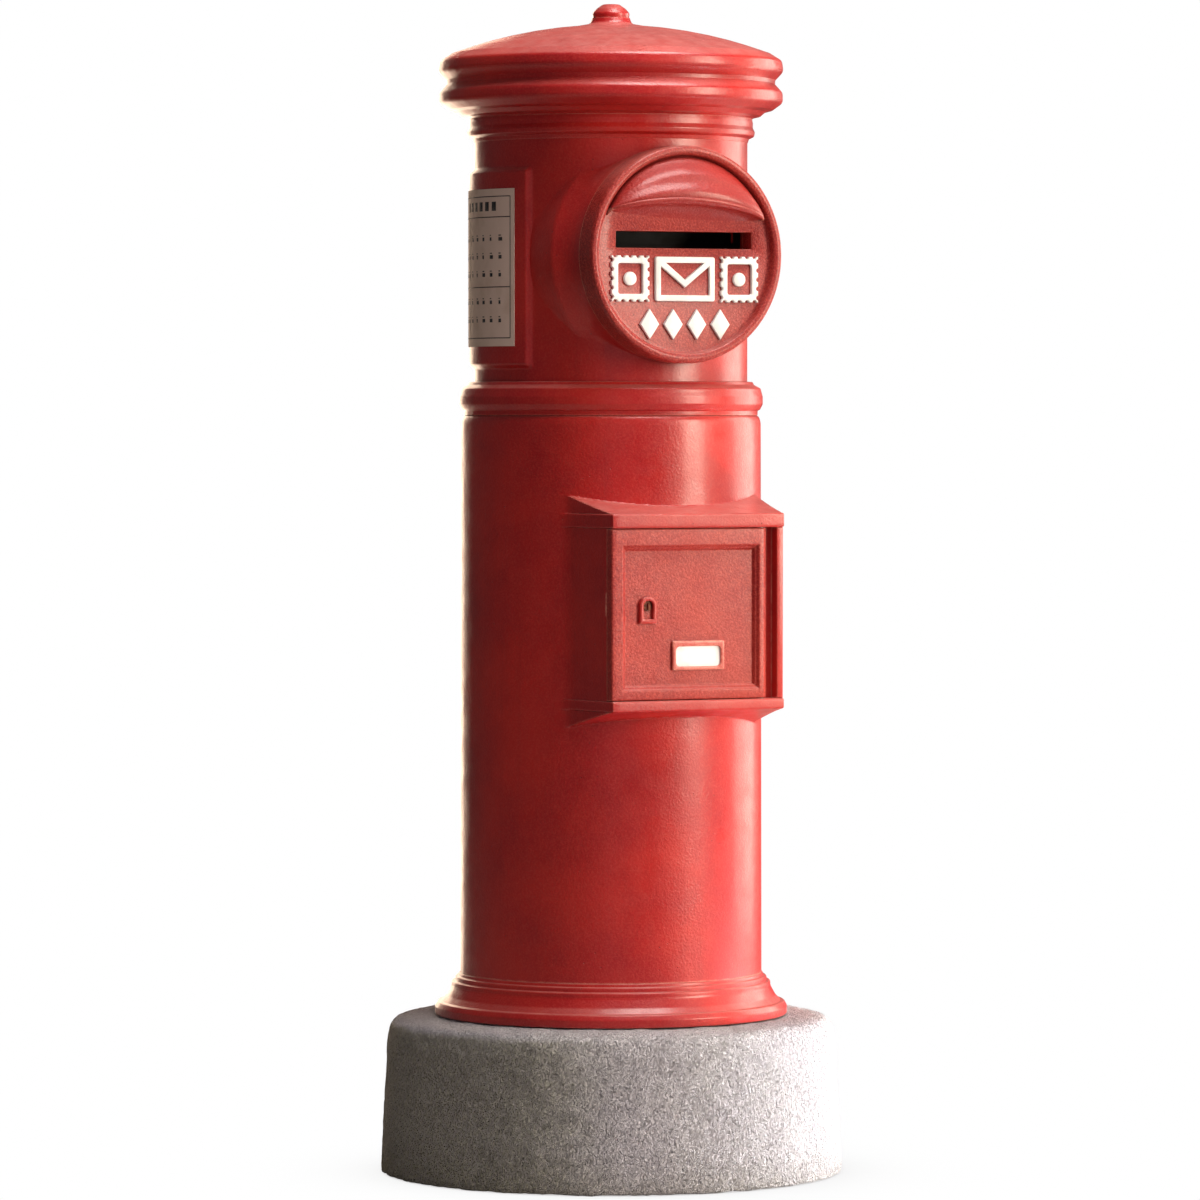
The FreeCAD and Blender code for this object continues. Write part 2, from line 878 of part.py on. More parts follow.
def is_upright_at(edge, x):
    """True for a vertical edge at this x."""
    ends = [v.Point for v in edge.Vertexes]
    return len(ends) == 2 and all(abs(p.x - x) < 0.01 for p in ends) and abs(ends[0].z - ends[1].z) > 1


def make_hinge_pin(middle):
    """Pin that is half in the trunk's ledge and half in the door."""
    return rod(hinge_pin_radius, middle - hinge_pin_depth, middle + hinge_pin_depth, hinge_x, hinge_y)


def make_hinge_pin_upper():
    return make_hinge_pin(lintel_bottom)


def make_hinge_pin_lower():
    return make_hinge_pin(sill_top)


def arched_plate(half_width, bottom, front, depth):
    """Upright plate with a round top about the lock's axis."""
    face = outline(
        lambda x, z: vector(x, front, up(z)),
        (lock_x - half_width, bottom),
        [
            (lock_x + half_width, bottom),
            (lock_x + half_width, lock_height),
            ((lock_x, lock_height + half_width), (lock_x - half_width, lock_height)),
        ],
    )
    return face.extrude(vector(0, depth, 0))


escutcheon_bottom = 528.0


def make_keyhole_escutcheon():
    proud = 5.0
    front = panel_face - proud
    plate = arched_plate(12.5, escutcheon_bottom, front, proud)
    front_edges = [e for e in plate.Edges if all(abs(v.Point.y - front) < 0.01 for v in e.Vertexes)]
    plate = plate.makeFillet(2.0, front_edges)
    return plate.cut(arched_plate(7.0, escutcheon_bottom + 6.0, front - 1, proud + 2))


card_x = 2.5
card_height = 486.0
holder_width = 77.0
holder_height = 38.5
holder_depth = 3.5
window_width = 66.0
window_tall = 26.0
card_width = 70.0
card_tall = 30.0
card_thickness = 1.0


def card_block(width, height, front, back):
    low = card_height - height / 2
    high = card_height + height / 2
    return block(card_x - width / 2, card_x + width / 2, front, back, low, high)


def make_card_holder():
    holder = card_block(holder_width, holder_height, panel_face - holder_depth, panel_face)
    window = card_block(window_width, window_tall, panel_face - holder_depth - 1, panel_face + 1)
    pocket = card_block(card_width + 1, card_tall + 1, panel_face - card_thickness - 0.2, panel_face + 1)
    return holder.cut(window).cut(pocket)


def make_card_insert():
    return card_block(card_width, card_tall, panel_face - card_thickness, panel_face)


# --- Lock ----------------------------------------------------------------------------------------

case_left = -110.0
case_right = -48.0
case_low = 524.0
case_high = 578.0
case_depth = 22.0
case_wall = 2.5
cam_radius = 10.5
cam_front = door_back + 0.5
cam_thickness = 3.0
pin_orbit = bolt_throw / math.sqrt(2)
pin_radius = 1.8
bolt_front = cam_front + cam_thickness + 1.0
bolt_thickness = 6.0
bolt_tip = -111.5
bolt_end = -58.0
bolt_low = 541.0
bolt_high = 566.0
lock_screw_places = [(x, z) for x in (case_left + 5, case_right - 5) for z in (case_low + 5, case_high - 5)]
keeper_thickness = 2.0
keeper_low = 528.0
keeper_high = 579.0
keeper_screw_heights = (532.0, 575.0)
keeper_y = bolt_front + bolt_thickness / 2


def make_lock_plug():
    face = panel_face - 1.5
    plug = rod_back(plug_radius, face, cam_front - face, lock_x, lock_height)
    keyway = block(lock_x - 1, lock_x + 1, face - 1, face + 5, lock_height - 5, lock_height + 4)
    return plug.cut(keyway)


def make_lock_cam():
    """Disc behind the plug with a crank pin that starts 45 degrees towards the hinge."""
    disc = rod_back(cam_radius, cam_front, cam_thickness, lock_x, lock_height)
    offset = pin_orbit / math.sqrt(2)
    pin_length = bolt_front + bolt_thickness - cam_front
    return disc.fuse(rod_back(pin_radius, cam_front, pin_length, lock_x + offset, lock_height + offset))


def make_lock_bolt():
    """Flat bolt with an upright slot that the crank pin runs in."""
    bolt = block(bolt_tip, bolt_end, bolt_front, bolt_front + bolt_thickness, bolt_low, bolt_high)
    pin_x = lock_x + pin_orbit / math.sqrt(2)
    play = pin_radius + 0.6
    slot_low = lock_height + pin_orbit / math.sqrt(2) - play
    slot_high = lock_height + pin_orbit + play
    slot = block(pin_x - play, pin_x + play, bolt_front - 1, bolt_front + 10, slot_low, slot_high)
    return bolt.cut(slot)


def make_lock_case():
    """Cover behind the door, open towards it, with a window for the bolt and corner posts."""
    back = door_back + case_depth
    case = block(case_left, case_right, door_back, back, case_low, case_high)
    hollow = block(
        case_left + case_wall,
        case_right - case_wall,
        door_back - 1,
        back - case_wall,
        case_low + case_wall,
        case_high - case_wall,
    )
    case = case.cut(hollow)
    for x, z in lock_screw_places:
        case = case.fuse(rod_back(4.5, door_back, case_depth, x, z))
    window = block(
        case_left - 1,
        case_left + case_wall + 1,
        bolt_front - rest_gap,
        bolt_front + bolt_thickness + rest_gap,
        bolt_low - rest_gap,
        bolt_high + rest_gap,
    )
    holes = [rod_back(2.3, door_back - 1, case_depth + 2, x, z) for x, z in lock_screw_places]
    return cut_all(case, [window] + holes).removeSplitter()


def make_lock_screws():
    back = door_back + case_depth
    screws = []
    for x, z in lock_screw_places:
        head = rod_back(4.0, back, 3.0, x, z)
        screws.append(head.fuse(rod_back(2.0, door_back - 4, case_depth + 4, x, z)))
    return group(screws)


def make_keeper_pocket():
    """Pocket in the doorway's left wall that receives the thrown bolt."""
    return block(
        opening_left - 8,
        opening_left + 1,
        bolt_front - 1.5,
        bolt_front + bolt_thickness + 1.5,
        bolt_low - 1.5,
        bolt_high + 1.5,
    )


def side_rod(radius, x, length, z):
    return Part.makeCylinder(radius, length, vector(x, keeper_y, up(z)), sideways)


def keeper_screw_holes():
    return [side_rod(2.1, opening_left - 7, 8, z) for z in keeper_screw_heights]


def make_lock_keeper():
    edge = 6.0
    right = opening_left + keeper_thickness
    plate = block(opening_left, right, keeper_y - edge, keeper_y + edge, keeper_low, keeper_high)
    window = block(
        opening_left - 1,
        opening_left + 5,
        bolt_front - 1,
        bolt_front + bolt_thickness + 1,
        bolt_low - 1,
        bolt_high + 1,
    )
    holes = [side_rod(2.3, opening_left - 1, 5, z) for z in keeper_screw_heights]
    return cut_all(plate, [window] + holes)


def make_keeper_screws():
    face = opening_left + keeper_thickness
    screws = []
    for z in keeper_screw_heights:
        head = side_rod(3.6, face, 1.2, z)
        screws.append(head.fuse(side_rod(2.0, face - 8, 8, z)))
    return group(screws)


# --- Every piece and its STEP file ---------------------------------------------------------------

nodes = {
    "concrete_base": make_concrete_base(),
    "anchor_bolts": make_anchor_bolts(),
    "anchor_washers": make_anchor_washers(),
    "anchor_nuts": make_anchor_nuts(),
    "foot_ring": make_foot_ring(),
    "foot_bolts": make_bolts(foot_bolt_places, foot_height + flange_thickness, foot_height - 25),
    "foot_nuts": make_nuts(foot_bolt_places, foot_height - flange_thickness - nut_height),
    "lower_trunk": make_lower_trunk(),
    "letter_floor": make_letter_floor(),
    "floor_screws": make_floor_screws(),
    "waist_ring": make_waist_ring(),
    "waist_bolts": make_bolts(waist_bolt_places, waist_bottom + flange_thickness + 10, waist_bottom - 26),
    "waist_nuts": make_nuts(waist_bolt_places, waist_bottom - flange_thickness - nut_height),
    "upper_trunk": make_upper_trunk(),
    "neck_ring": make_neck_ring(),
    "roof_bolts": make_bolts(roof_bolt_places, neck_bottom - 10, neck_top + 13),
    "roof_cap": make_roof_cap(),
    "finial_knob": make_finial_knob(),
    "finial_nut": make_finial_nut(),
    "slot_plate": make_slot_plate(),
    "slot_hood": make_slot_hood(),
    "hood_screws": make_hood_screws(),
    "raised_emblems": make_raised_emblems(),
    "mouth_bolts": make_mouth_bolts(),
    "chute_flange": make_chute_flange(),
    "chute_guide": make_chute_guide(),
    "chute_floor": make_chute_floor(),
    "timetable_sheet": make_timetable_sheet(),
    "door_leaf": make_door_leaf(),
    "hinge_pin_upper": make_hinge_pin_upper(),
    "hinge_pin_lower": make_hinge_pin_lower(),
    "keyhole_escutcheon": make_keyhole_escutcheon(),
    "card_holder": make_card_holder(),
    "card_insert": make_card_insert(),
    "lock_plug": make_lock_plug(),
    "lock_cam": make_lock_cam(),
    "lock_bolt": make_lock_bolt(),
    "lock_case": make_lock_case(),
    "lock_screws": make_lock_screws(),
    "lock_keeper": make_lock_keeper(),
    "keeper_screws": make_keeper_screws(),
}

os.makedirs("parts", exist_ok=True)
for name, shape in nodes.items():
    if not shape.isValid():
        raise ValueError(name + " is not a valid shape")
    shape.exportStep("parts/" + name + ".step")
    print(f"{name:20s} solids {len(shape.Solids)} volume {shape.Volume / 1000:10.1f} cm3")
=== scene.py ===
"""Cast-iron pillar post box on a concrete base: the visible castings, their finishes, light and camera.

Metres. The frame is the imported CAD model: +Z up, front towards -Y, origin under the base's centre.
The castings are modelled in millimetres above the concrete, as the object's own drawing would be,
and scaled when their meshes are made.
"""

import json
import math

import bmesh
import bpy
import numpy as np
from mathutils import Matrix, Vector, noise


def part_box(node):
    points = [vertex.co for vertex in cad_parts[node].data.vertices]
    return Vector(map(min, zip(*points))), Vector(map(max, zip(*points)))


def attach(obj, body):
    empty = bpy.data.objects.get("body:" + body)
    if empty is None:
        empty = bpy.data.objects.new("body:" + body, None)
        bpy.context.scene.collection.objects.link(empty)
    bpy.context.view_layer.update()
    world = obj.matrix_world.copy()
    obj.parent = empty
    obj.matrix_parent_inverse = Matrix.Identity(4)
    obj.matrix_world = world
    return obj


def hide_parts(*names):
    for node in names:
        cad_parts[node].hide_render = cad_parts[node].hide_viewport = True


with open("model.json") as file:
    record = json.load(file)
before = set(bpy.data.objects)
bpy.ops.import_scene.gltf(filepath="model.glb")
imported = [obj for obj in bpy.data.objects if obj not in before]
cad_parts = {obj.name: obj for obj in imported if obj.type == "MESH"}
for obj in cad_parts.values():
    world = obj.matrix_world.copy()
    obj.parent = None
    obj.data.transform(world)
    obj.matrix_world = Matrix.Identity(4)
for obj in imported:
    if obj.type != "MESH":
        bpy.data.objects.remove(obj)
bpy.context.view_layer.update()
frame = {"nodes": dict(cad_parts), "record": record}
nodes = frame["nodes"]

MM = 0.001

# --- Levels and radii read from the frame ---

ground_to_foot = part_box("concrete_base")[1].z / MM


class Extent:
    """Where a CAD node lies, in millimetres: levels above the concrete, front and back ahead of
    the axis."""

    def __init__(self, node):
        low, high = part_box(node)
        self.left = low.x / MM
        self.right = high.x / MM
        self.front = -low.y / MM
        self.back = -high.y / MM
        self.low = low.z / MM - ground_to_foot
        self.high = high.z / MM - ground_to_foot
        self.middle_x = (low.x + high.x) / 2 / MM
        self.middle = (low.z + high.z) / 2 / MM - ground_to_foot


foot_top = Extent("foot_ring").high
waist_low = Extent("waist_ring").low
waist_high = Extent("waist_ring").high
neck_low = Extent("neck_ring").low
neck_high = Extent("neck_ring").high
knob_seat = Extent("roof_cap").high
dome_top = knob_seat - 9.5
knob_top = Extent("finial_knob").high
cad_plate = Extent("slot_plate")
mouth_height = cad_plate.middle
mouth_radius = cad_plate.right
plate_back = cad_plate.back
rim_front = cad_plate.front
plate_face = Extent("raised_emblems").back

lower_foot_radius = 201.0
lower_shoulder_radius = 199.5
upper_radius = 181.5
lower_wall = 9.0
upper_wall = 8.0
flange_inner = 150.0
flange_thickness = 12.0

housing_half = 128.0

cad_door = Extent("door_leaf")
housing_front = cad_door.front
seat_front = cad_door.back - 0.5
ledge_front = Extent("lower_trunk").front
housing_low = 414.0
housing_high = 671.0
housing_slope = 20.0
slope_run = 89.0
door_gap = 0.6
sill_top = cad_door.low - door_gap
lintel_low = cad_door.high + door_gap
doorway_left = -116.0
doorway_right = 88.0
doorway_low = Extent("letter_floor").high
doorway_high = 645.0
cad_bolt = Extent("lock_bolt")
bolt_room = 2.5
pocket_depth = 9.5
pocket_low = cad_bolt.low - bolt_room
pocket_high = cad_bolt.high + bolt_room
pocket_back = (cad_bolt.back - bolt_room) * doorway_left / (doorway_left - pocket_depth)
pocket_front = cad_bolt.front + bolt_room

# --- Mesh helpers ---


def to_metres(r_or_x, y, z):
    """A point in millimetres above the concrete, as metres above the ground."""
    return Vector((r_or_x * MM, y * MM, (z + ground_to_foot) * MM))


def link(name, mesh, body, material, slot_name, *replaced):
    """Puts a mesh in the scene as a piece that rides on a body and stands for CAD nodes."""
    piece = bpy.data.objects.new(name, mesh)
    bpy.context.scene.collection.objects.link(piece)
    mesh.materials.clear()
    mesh.materials.append(material)
    for face in mesh.polygons:
        face.use_smooth = True
    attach(piece, body)
    if replaced:
        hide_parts(*replaced)
    return piece


def cast(node, mesh, material, crisp=50, body="cabinet", slot_name="red_enamel"):
    """Puts in the piece that stands for one CAD node; edges sharper than crisp degrees stay crisp."""
    piece = link(node + "_cast", mesh, body, material, slot_name, node)
    sharpen(piece, crisp)


def mesh_from(name, points, faces):
    """Mesh from points and faces, with doubled points joined and its faces turned outwards."""

    mesh = bpy.data.meshes.new(name)
    mesh.from_pydata([tuple(p) for p in points], [], faces)
    bm = bmesh.new()
    bm.from_mesh(mesh)
    bmesh.ops.remove_doubles(bm, verts=bm.verts, dist=2e-6)
    bmesh.ops.recalc_face_normals(bm, faces=bm.faces)
    bm.to_mesh(mesh)
    bm.free()
    return mesh


def rounded(corners, segments=5):
    """Open outline from (a, b, radius) corners: each corner is replaced with an arc of its radius."""
    path = []
    for i, (a, b, radius) in enumerate(corners):
        here = np.array([a, b], float)
        if radius <= 0 or i in (0, len(corners) - 1):
            path.append(here)
            continue
        before = np.array(corners[i - 1][:2], float) - here
        after = np.array(corners[i + 1][:2], float) - here
        reach_before = np.linalg.norm(before)
        reach_after = np.linalg.norm(after)
        before /= reach_before
        after /= reach_after
        half = math.acos(max(-1.0, min(1.0, float(before @ after)))) / 2
        if half > math.radians(89.5):
            path.append(here)
            continue
        tangent = min(radius / math.tan(half), 0.49 * reach_before, 0.49 * reach_after)
        true_radius = tangent * math.tan(half)
        towards = before + after
        towards /= np.linalg.norm(towards)
        centre = here + towards * (true_radius / math.sin(half))
        start = here + before * tangent - centre
        end = here + after * tangent - centre
        sweep = math.pi - 2 * half
        for k in range(segments + 1):
            share = k / segments
            weight_start = math.sin((1 - share) * sweep) / math.sin(sweep)
            weight_end = math.sin(share * sweep) / math.sin(sweep)
            path.append(centre + start * weight_start + end * weight_end)
    return path


def subdivided(path, longest):
    """The path with its long runs divided, so that no run is longer than this."""
    result = [path[0]]
    for start, end in zip(path, path[1:]):
        count = max(1, math.ceil(np.linalg.norm(end - start) / longest))
        result.extend(start + (end - start) * k / count for k in range(1, count + 1))
    return result


def lathe_mesh(name, path, segments=256):
    """Solid of revolution from a closed (radius, height) outline; points on the axis close it."""
    points = []
    rings = []
    for radius, height in path:
        if radius < 1e-6:
            rings.append([len(points)])
            points.append(to_metres(0, 0, height))
            continue
        rings.append(list(range(len(points), len(points) + segments)))
        for k in range(segments):
            angle = 2 * math.pi * k / segments
            points.append(to_metres(radius * math.cos(angle), radius * math.sin(angle), height))
    faces = []
    on_axis = len(rings[0]) == 1 and len(rings[-1]) == 1
    pairs = list(zip(rings, rings[1:]))
    if not on_axis:
        pairs.append((rings[-1], rings[0]))
    for lower, upper in pairs:
        for k in range(segments):
            following = (k + 1) % segments
            if len(lower) == 1 and len(upper) == 1:
                continue
            if len(lower) == 1:
                faces.append((lower[0], upper[following], upper[k]))
            elif len(upper) == 1:
                faces.append((lower[k], lower[following], upper[0]))
            else:
                faces.append((lower[k], lower[following], upper[following], upper[k]))
    return mesh_from(name, points, faces)


def smooth_max(first, second, width):
    """Larger of two arrays, with a round transition of this width."""
    overlap = np.maximum(width - np.abs(first - second), 0) / width
    return np.maximum(first, second) + overlap**2 * width / 4


def smooth_min(first, second, width):
    return -smooth_max(-first, -second, width)


def smooth_step(value, start, end):
    share = np.clip((value - start) / (end - start), 0, 1)
    return share * share * (3 - 2 * share)


def edge_round(distance, radius):
    """How far a rounded edge falls back at this distance from it."""
    inside = np.clip(radius - distance, 0, radius)
    return radius - np.sqrt(np.maximum(radius**2 - inside**2, 0))


def spaced(stops):
    """Values from (value, step to the next) stops, evenly divided between them."""
    values = []
    for (start, step), (end, _) in zip(stops, stops[1:]):
        count = max(1, round(abs(end - start) / step))
        values.extend(start + (end - start) * k / count for k in range(count))
    values.append(stops[-1][0])
    return np.array(values)


def cast_shell(name, angles, heights, outer, inner, is_open):
    """Closed casting between an outer and an inner surface, given as radii over (height, angle).
    Angles are measured from the front, in radians; is_open marks the cells of a doorway."""
    rows = len(heights)
    columns = len(angles)
    points = []
    for radii in (outer, inner):
        for i in range(rows):
            for j in range(columns):
                radius = radii[i, j]
                x = radius * math.sin(angles[j])
                y = -radius * math.cos(angles[j])
                points.append(to_metres(x, y, heights[i]))
    start_inner = rows * columns
    faces = []
    for i in range(rows - 1):
        for j in range(columns):
            if is_open[i, j]:
                continue
            k = (j + 1) % columns
            a, b = i * columns + j, i * columns + k
            c, d = (i + 1) * columns + k, (i + 1) * columns + j
            faces.append((a, b, c, d))
            faces.append((start_inner + d, start_inner + c, start_inner + b, start_inner + a))
    for i in (0, rows - 1):
        for j in range(columns):
            k = (j + 1) % columns
            a, b = i * columns + j, i * columns + k
            faces.append((b, a, start_inner + a, start_inner + b))
    return mesh_from(name, points, faces)


def loft_mesh(name, sections):
    """Closed solid through sections with the same number of points, with a flat face at each end."""
    size = len(sections[0])
    points = [point for section in sections for point in section]
    last = len(points) - size
    faces = []
    for start in range(0, last, size):
        for j in range(size):
            n = (j + 1) % size
            faces.append((start + j, start + n, start + size + n, start + size + j))
    faces.append(tuple(range(size)))
    faces.append(tuple(reversed(range(last, len(points)))))
    return mesh_from(name, points, faces)


def sharpen(piece, degrees):

    """Keeps edges sharper than this crisp while the rest is shaded smooth."""
    bm = bmesh.new()
    bm.from_mesh(piece.data)
    limit = math.radians(degrees)
    for edge in bm.edges:
        if len(edge.link_faces) == 2 and edge.calc_face_angle() > limit:
            edge.smooth = False
    bm.to_mesh(piece.data)
    bm.free()


def prism_mesh(name, outlines, front, back, edge_radius=0.0, segments=3):
    """Upright plate between two depths from a closed (x, height) outline, with rounded front edges.
    outlines holds the outer one and any holes; the plate is filled between them."""
    bm = bmesh.new()
    for outline in outlines:
        ring = [bm.verts.new(to_metres(x, -front, z)) for x, z in outline]
        for a, b in zip(ring, ring[1:] + ring[:1]):
            bm.edges.new((a, b))
    filled = bmesh.ops.triangle_fill(bm, use_beauty=True, use_dissolve=False, edges=bm.edges[:])
    face_list = [g for g in filled["geom"] if isinstance(g, bmesh.types.BMFace)]
    rim = [e for e in bm.edges if len(e.link_faces) == 1]
    extruded = bmesh.ops.extrude_face_region(bm, geom=face_list)
    moved = [g for g in extruded["geom"] if isinstance(g, bmesh.types.BMVert)]
    bmesh.ops.translate(bm, verts=moved, vec=Vector((0, (front - back) * MM, 0)))
    bmesh.ops.recalc_face_normals(bm, faces=bm.faces)
    if edge_radius > 0:
        bmesh.ops.bevel(
            bm, geom=rim, offset=edge_radius * MM, segments=segments, profile=0.5, affect="EDGES"
        )
    mesh = bpy.data.meshes.new(name)
    bm.to_mesh(mesh)
    bm.free()
    return mesh


# --- Node materials ---


class Shader:
    """A node material in the making: short calls that add nodes and links."""

    def __init__(self, name):
        self.material = bpy.data.materials.new(name)
        self.material.use_nodes = True
        self.tree = self.material.node_tree
        self.tree.nodes.clear()
        self.surface = self.tree.nodes.new("ShaderNodeBsdfPrincipled")
        output = self.tree.nodes.new("ShaderNodeOutputMaterial")
        self.tree.links.new(self.surface.outputs["BSDF"], output.inputs["Surface"])
        coordinates = self.tree.nodes.new("ShaderNodeTexCoord")
        self.place = coordinates.outputs["Object"]

    def put(self, socket, value):
        """Links an output to the socket, or sets the socket to a constant."""
        if isinstance(value, bpy.types.NodeSocket):
            self.tree.links.new(value, socket)
        else:
            socket.default_value = value

    def set(self, **sockets):
        for label, value in sockets.items():
            self.put(self.surface.inputs[label.replace("_", " ")], value)

    def feed(self, node, sockets):
        """Sets a node's inputs by their names, with _ for each space."""
        for label, value in sockets.items():
            self.put(node.inputs[label.replace("_", " ")], value)
        return node

    def add(self, kind, **sockets):
        return self.feed(self.tree.nodes.new(kind), sockets)

    def set(self, **sockets):
        self.feed(self.surface, sockets)

    def stretched(self, scale):
        """Object coordinates scaled by a vector."""
        return self.add("ShaderNodeMapping", Vector=self.place, Scale=scale).outputs["Vector"]

    def noise(self, scale, detail=2.0, roughness=0.5, place=None, distortion=0.0):
        node = self.add("ShaderNodeTexNoise", Vector=place or self.place, Scale=scale, Detail=detail)
        return self.feed(node, {"Roughness": roughness, "Distortion": distortion}).outputs["Fac"]

    def cells(self, scale):
        """Distance to the middle of the nearest of many scattered cells."""
        return self.add("ShaderNodeTexVoronoi", Vector=self.place, Scale=scale).outputs["Distance"]

    def ramp(self, value, low, high, to_low=0.0, to_high=1.0):
        """Value mapped from one range to another, with smooth ends."""
        node = self.add("ShaderNodeMapRange", Value=value, From_Min=low, From_Max=high)
        node.interpolation_type = "SMOOTHSTEP"
        return self.feed(node, {"To Min": to_low, "To Max": to_high}).outputs["Result"]

    def math(self, operation, first, second):
        node = self.tree.nodes.new("ShaderNodeMath")
        node.operation = operation
        self.put(node.inputs[0], first)
        self.put(node.inputs[1], second)
        return node.outputs[0]

    def times(self, first, second):
        return self.math("MULTIPLY", first, second)

    def one_less(self, value):
        """1 less the value."""
        return self.math("SUBTRACT", 1.0, value)

    def mix(self, share, first, second):
        node = self.tree.nodes.new("ShaderNodeMix")
        node.data_type = "RGBA"
        self.put(node.inputs[0], share)
        self.put(node.inputs[6], first)
        self.put(node.inputs[7], second)
        return node.outputs[2]

    def layer(self, colour, cover, strength, tint):
        """Colour with a tint over it at this strength where cover is 1."""
        return self.mix(self.times(cover, strength), colour, tint)

    def split(self, vector):
        return self.add("ShaderNodeSeparateXYZ", Vector=vector).outputs

    def upward(self):
        """How far the surface faces up."""
        return self.split(self.tree.nodes.new("ShaderNodeTexCoord").outputs["Normal"])[2]

    def hollow(self, distance, inside=False):
        """1 in the open and towards 0 in grooves of this size, or with inside at sharp edges."""
        node = self.add("ShaderNodeAmbientOcclusion", Distance=distance)
        node.samples = 6
        node.inside = inside
        node.only_local = inside
        return node.outputs["AO"]

    def bump(self, height, depth, strength=1.0, below=None):
        node = self.add("ShaderNodeBump", Height=height, Distance=depth, Strength=strength)
        if below is not None:
            self.put(node.inputs["Normal"], below)
        return node.outputs["Normal"]


def make_enamel(name, deep, bright, grain=1.0, gloss=0.0, edge_wear_and_highlight=0.8, top_dust_and_sheen=0.42, speckled=0.22):
    """Thick paint on cast iron: orange peel, casting pits, dust with a painted pale sheen on top,
    grime with painted shade in the grooves, and paler rubbed edges that are partly painted highlights."""
    s = Shader(name)
    patches = s.ramp(s.noise(5.0, 4.0, 0.6), 0.35, 0.68)
    colour = s.mix(patches, deep, bright)
    speckle = s.ramp(s.noise(380.0, 2.0, 0.6), 0.42, 0.66)
    colour = s.layer(colour, speckle, speckled, (0.62, 0.075, 0.050, 1))
    runs = s.ramp(s.noise(1.0, 4.0, 0.65, place=s.stretched((34.0, 34.0, 2.4))), 0.52, 0.80)
    colour = s.layer(colour, runs, 0.20, (deep[0] * 0.55, deep[1] * 0.7, deep[2] * 0.8, 1))
    # Pale pink where the surface faces up: partly dust, partly a painted sheen standing for the light from
    # above.
    dust_patches = s.ramp(s.noise(60.0, 4.0, 0.7), 0.25, 0.8, 0.5, 1.0)
    dust_and_top_sheen = s.times(s.ramp(s.upward(), 0.45, 0.98), dust_patches)
    colour = s.layer(colour, dust_and_top_sheen, top_dust_and_sheen, (0.62, 0.30, 0.26, 1))
    # Darker in grooves within 10 mm, found by ambient occlusion: painted shade, broken up by noise like
    # grime.
    grime_and_groove_shade = s.ramp(s.hollow(0.010), 0.25, 0.80, 1.0, 0.0)
    grime_and_groove_shade = s.times(grime_and_groove_shade, s.ramp(s.noise(45.0, 3.0, 0.6), 0.2, 0.7, 0.35, 1.0))
    colour = s.layer(colour, grime_and_groove_shade, 0.55, (0.085, 0.012, 0.012, 1))
    # Paler at sharp convex edges, found by inside ambient occlusion: partly paint rubbed off, partly a
    # painted highlight along the edges.
    if edge_wear_and_highlight > 0:
        rubbed_and_highlit_edges = s.ramp(s.hollow(0.0032, inside=True), 0.45, 0.82, edge_wear_and_highlight, 0.0)
        uneven = s.ramp(s.noise(90.0, 4.0, 0.7), 0.28, 0.62, 0.25, 1.0)
        colour = s.layer(colour, rubbed_and_highlit_edges, uneven, (0.86, 0.36, 0.26, 1))
    rare = s.ramp(s.noise(14.0, 2.0), 0.52, 0.60)
    pits = s.math("MAXIMUM", s.ramp(s.cells(75.0), 0.035, 0.085), s.one_less(rare))
    colour = s.layer(colour, s.one_less(pits), 0.6, (0.09, 0.01, 0.01, 1))
    rough = s.ramp(s.noise(36.0, 3.0, 0.6), 0.3, 0.7, 0.30 - gloss, 0.46 - gloss)
    rough = s.math("ADD", rough, s.times(dust_and_top_sheen, 0.16))
    s.set(Base_Color=colour, Roughness=rough, Coat_Weight=0.35, Coat_Roughness=0.20)
    lumps = s.bump(s.noise(24.0, 2.0, 0.5), 0.0013 * grain, 0.5)
    peel = s.bump(s.noise(290.0, 3.0, 0.62), 0.0007 * grain, 0.75, below=lumps)
    s.set(Normal=s.bump(pits, 0.0009, 0.8, below=peel))
    return s.material


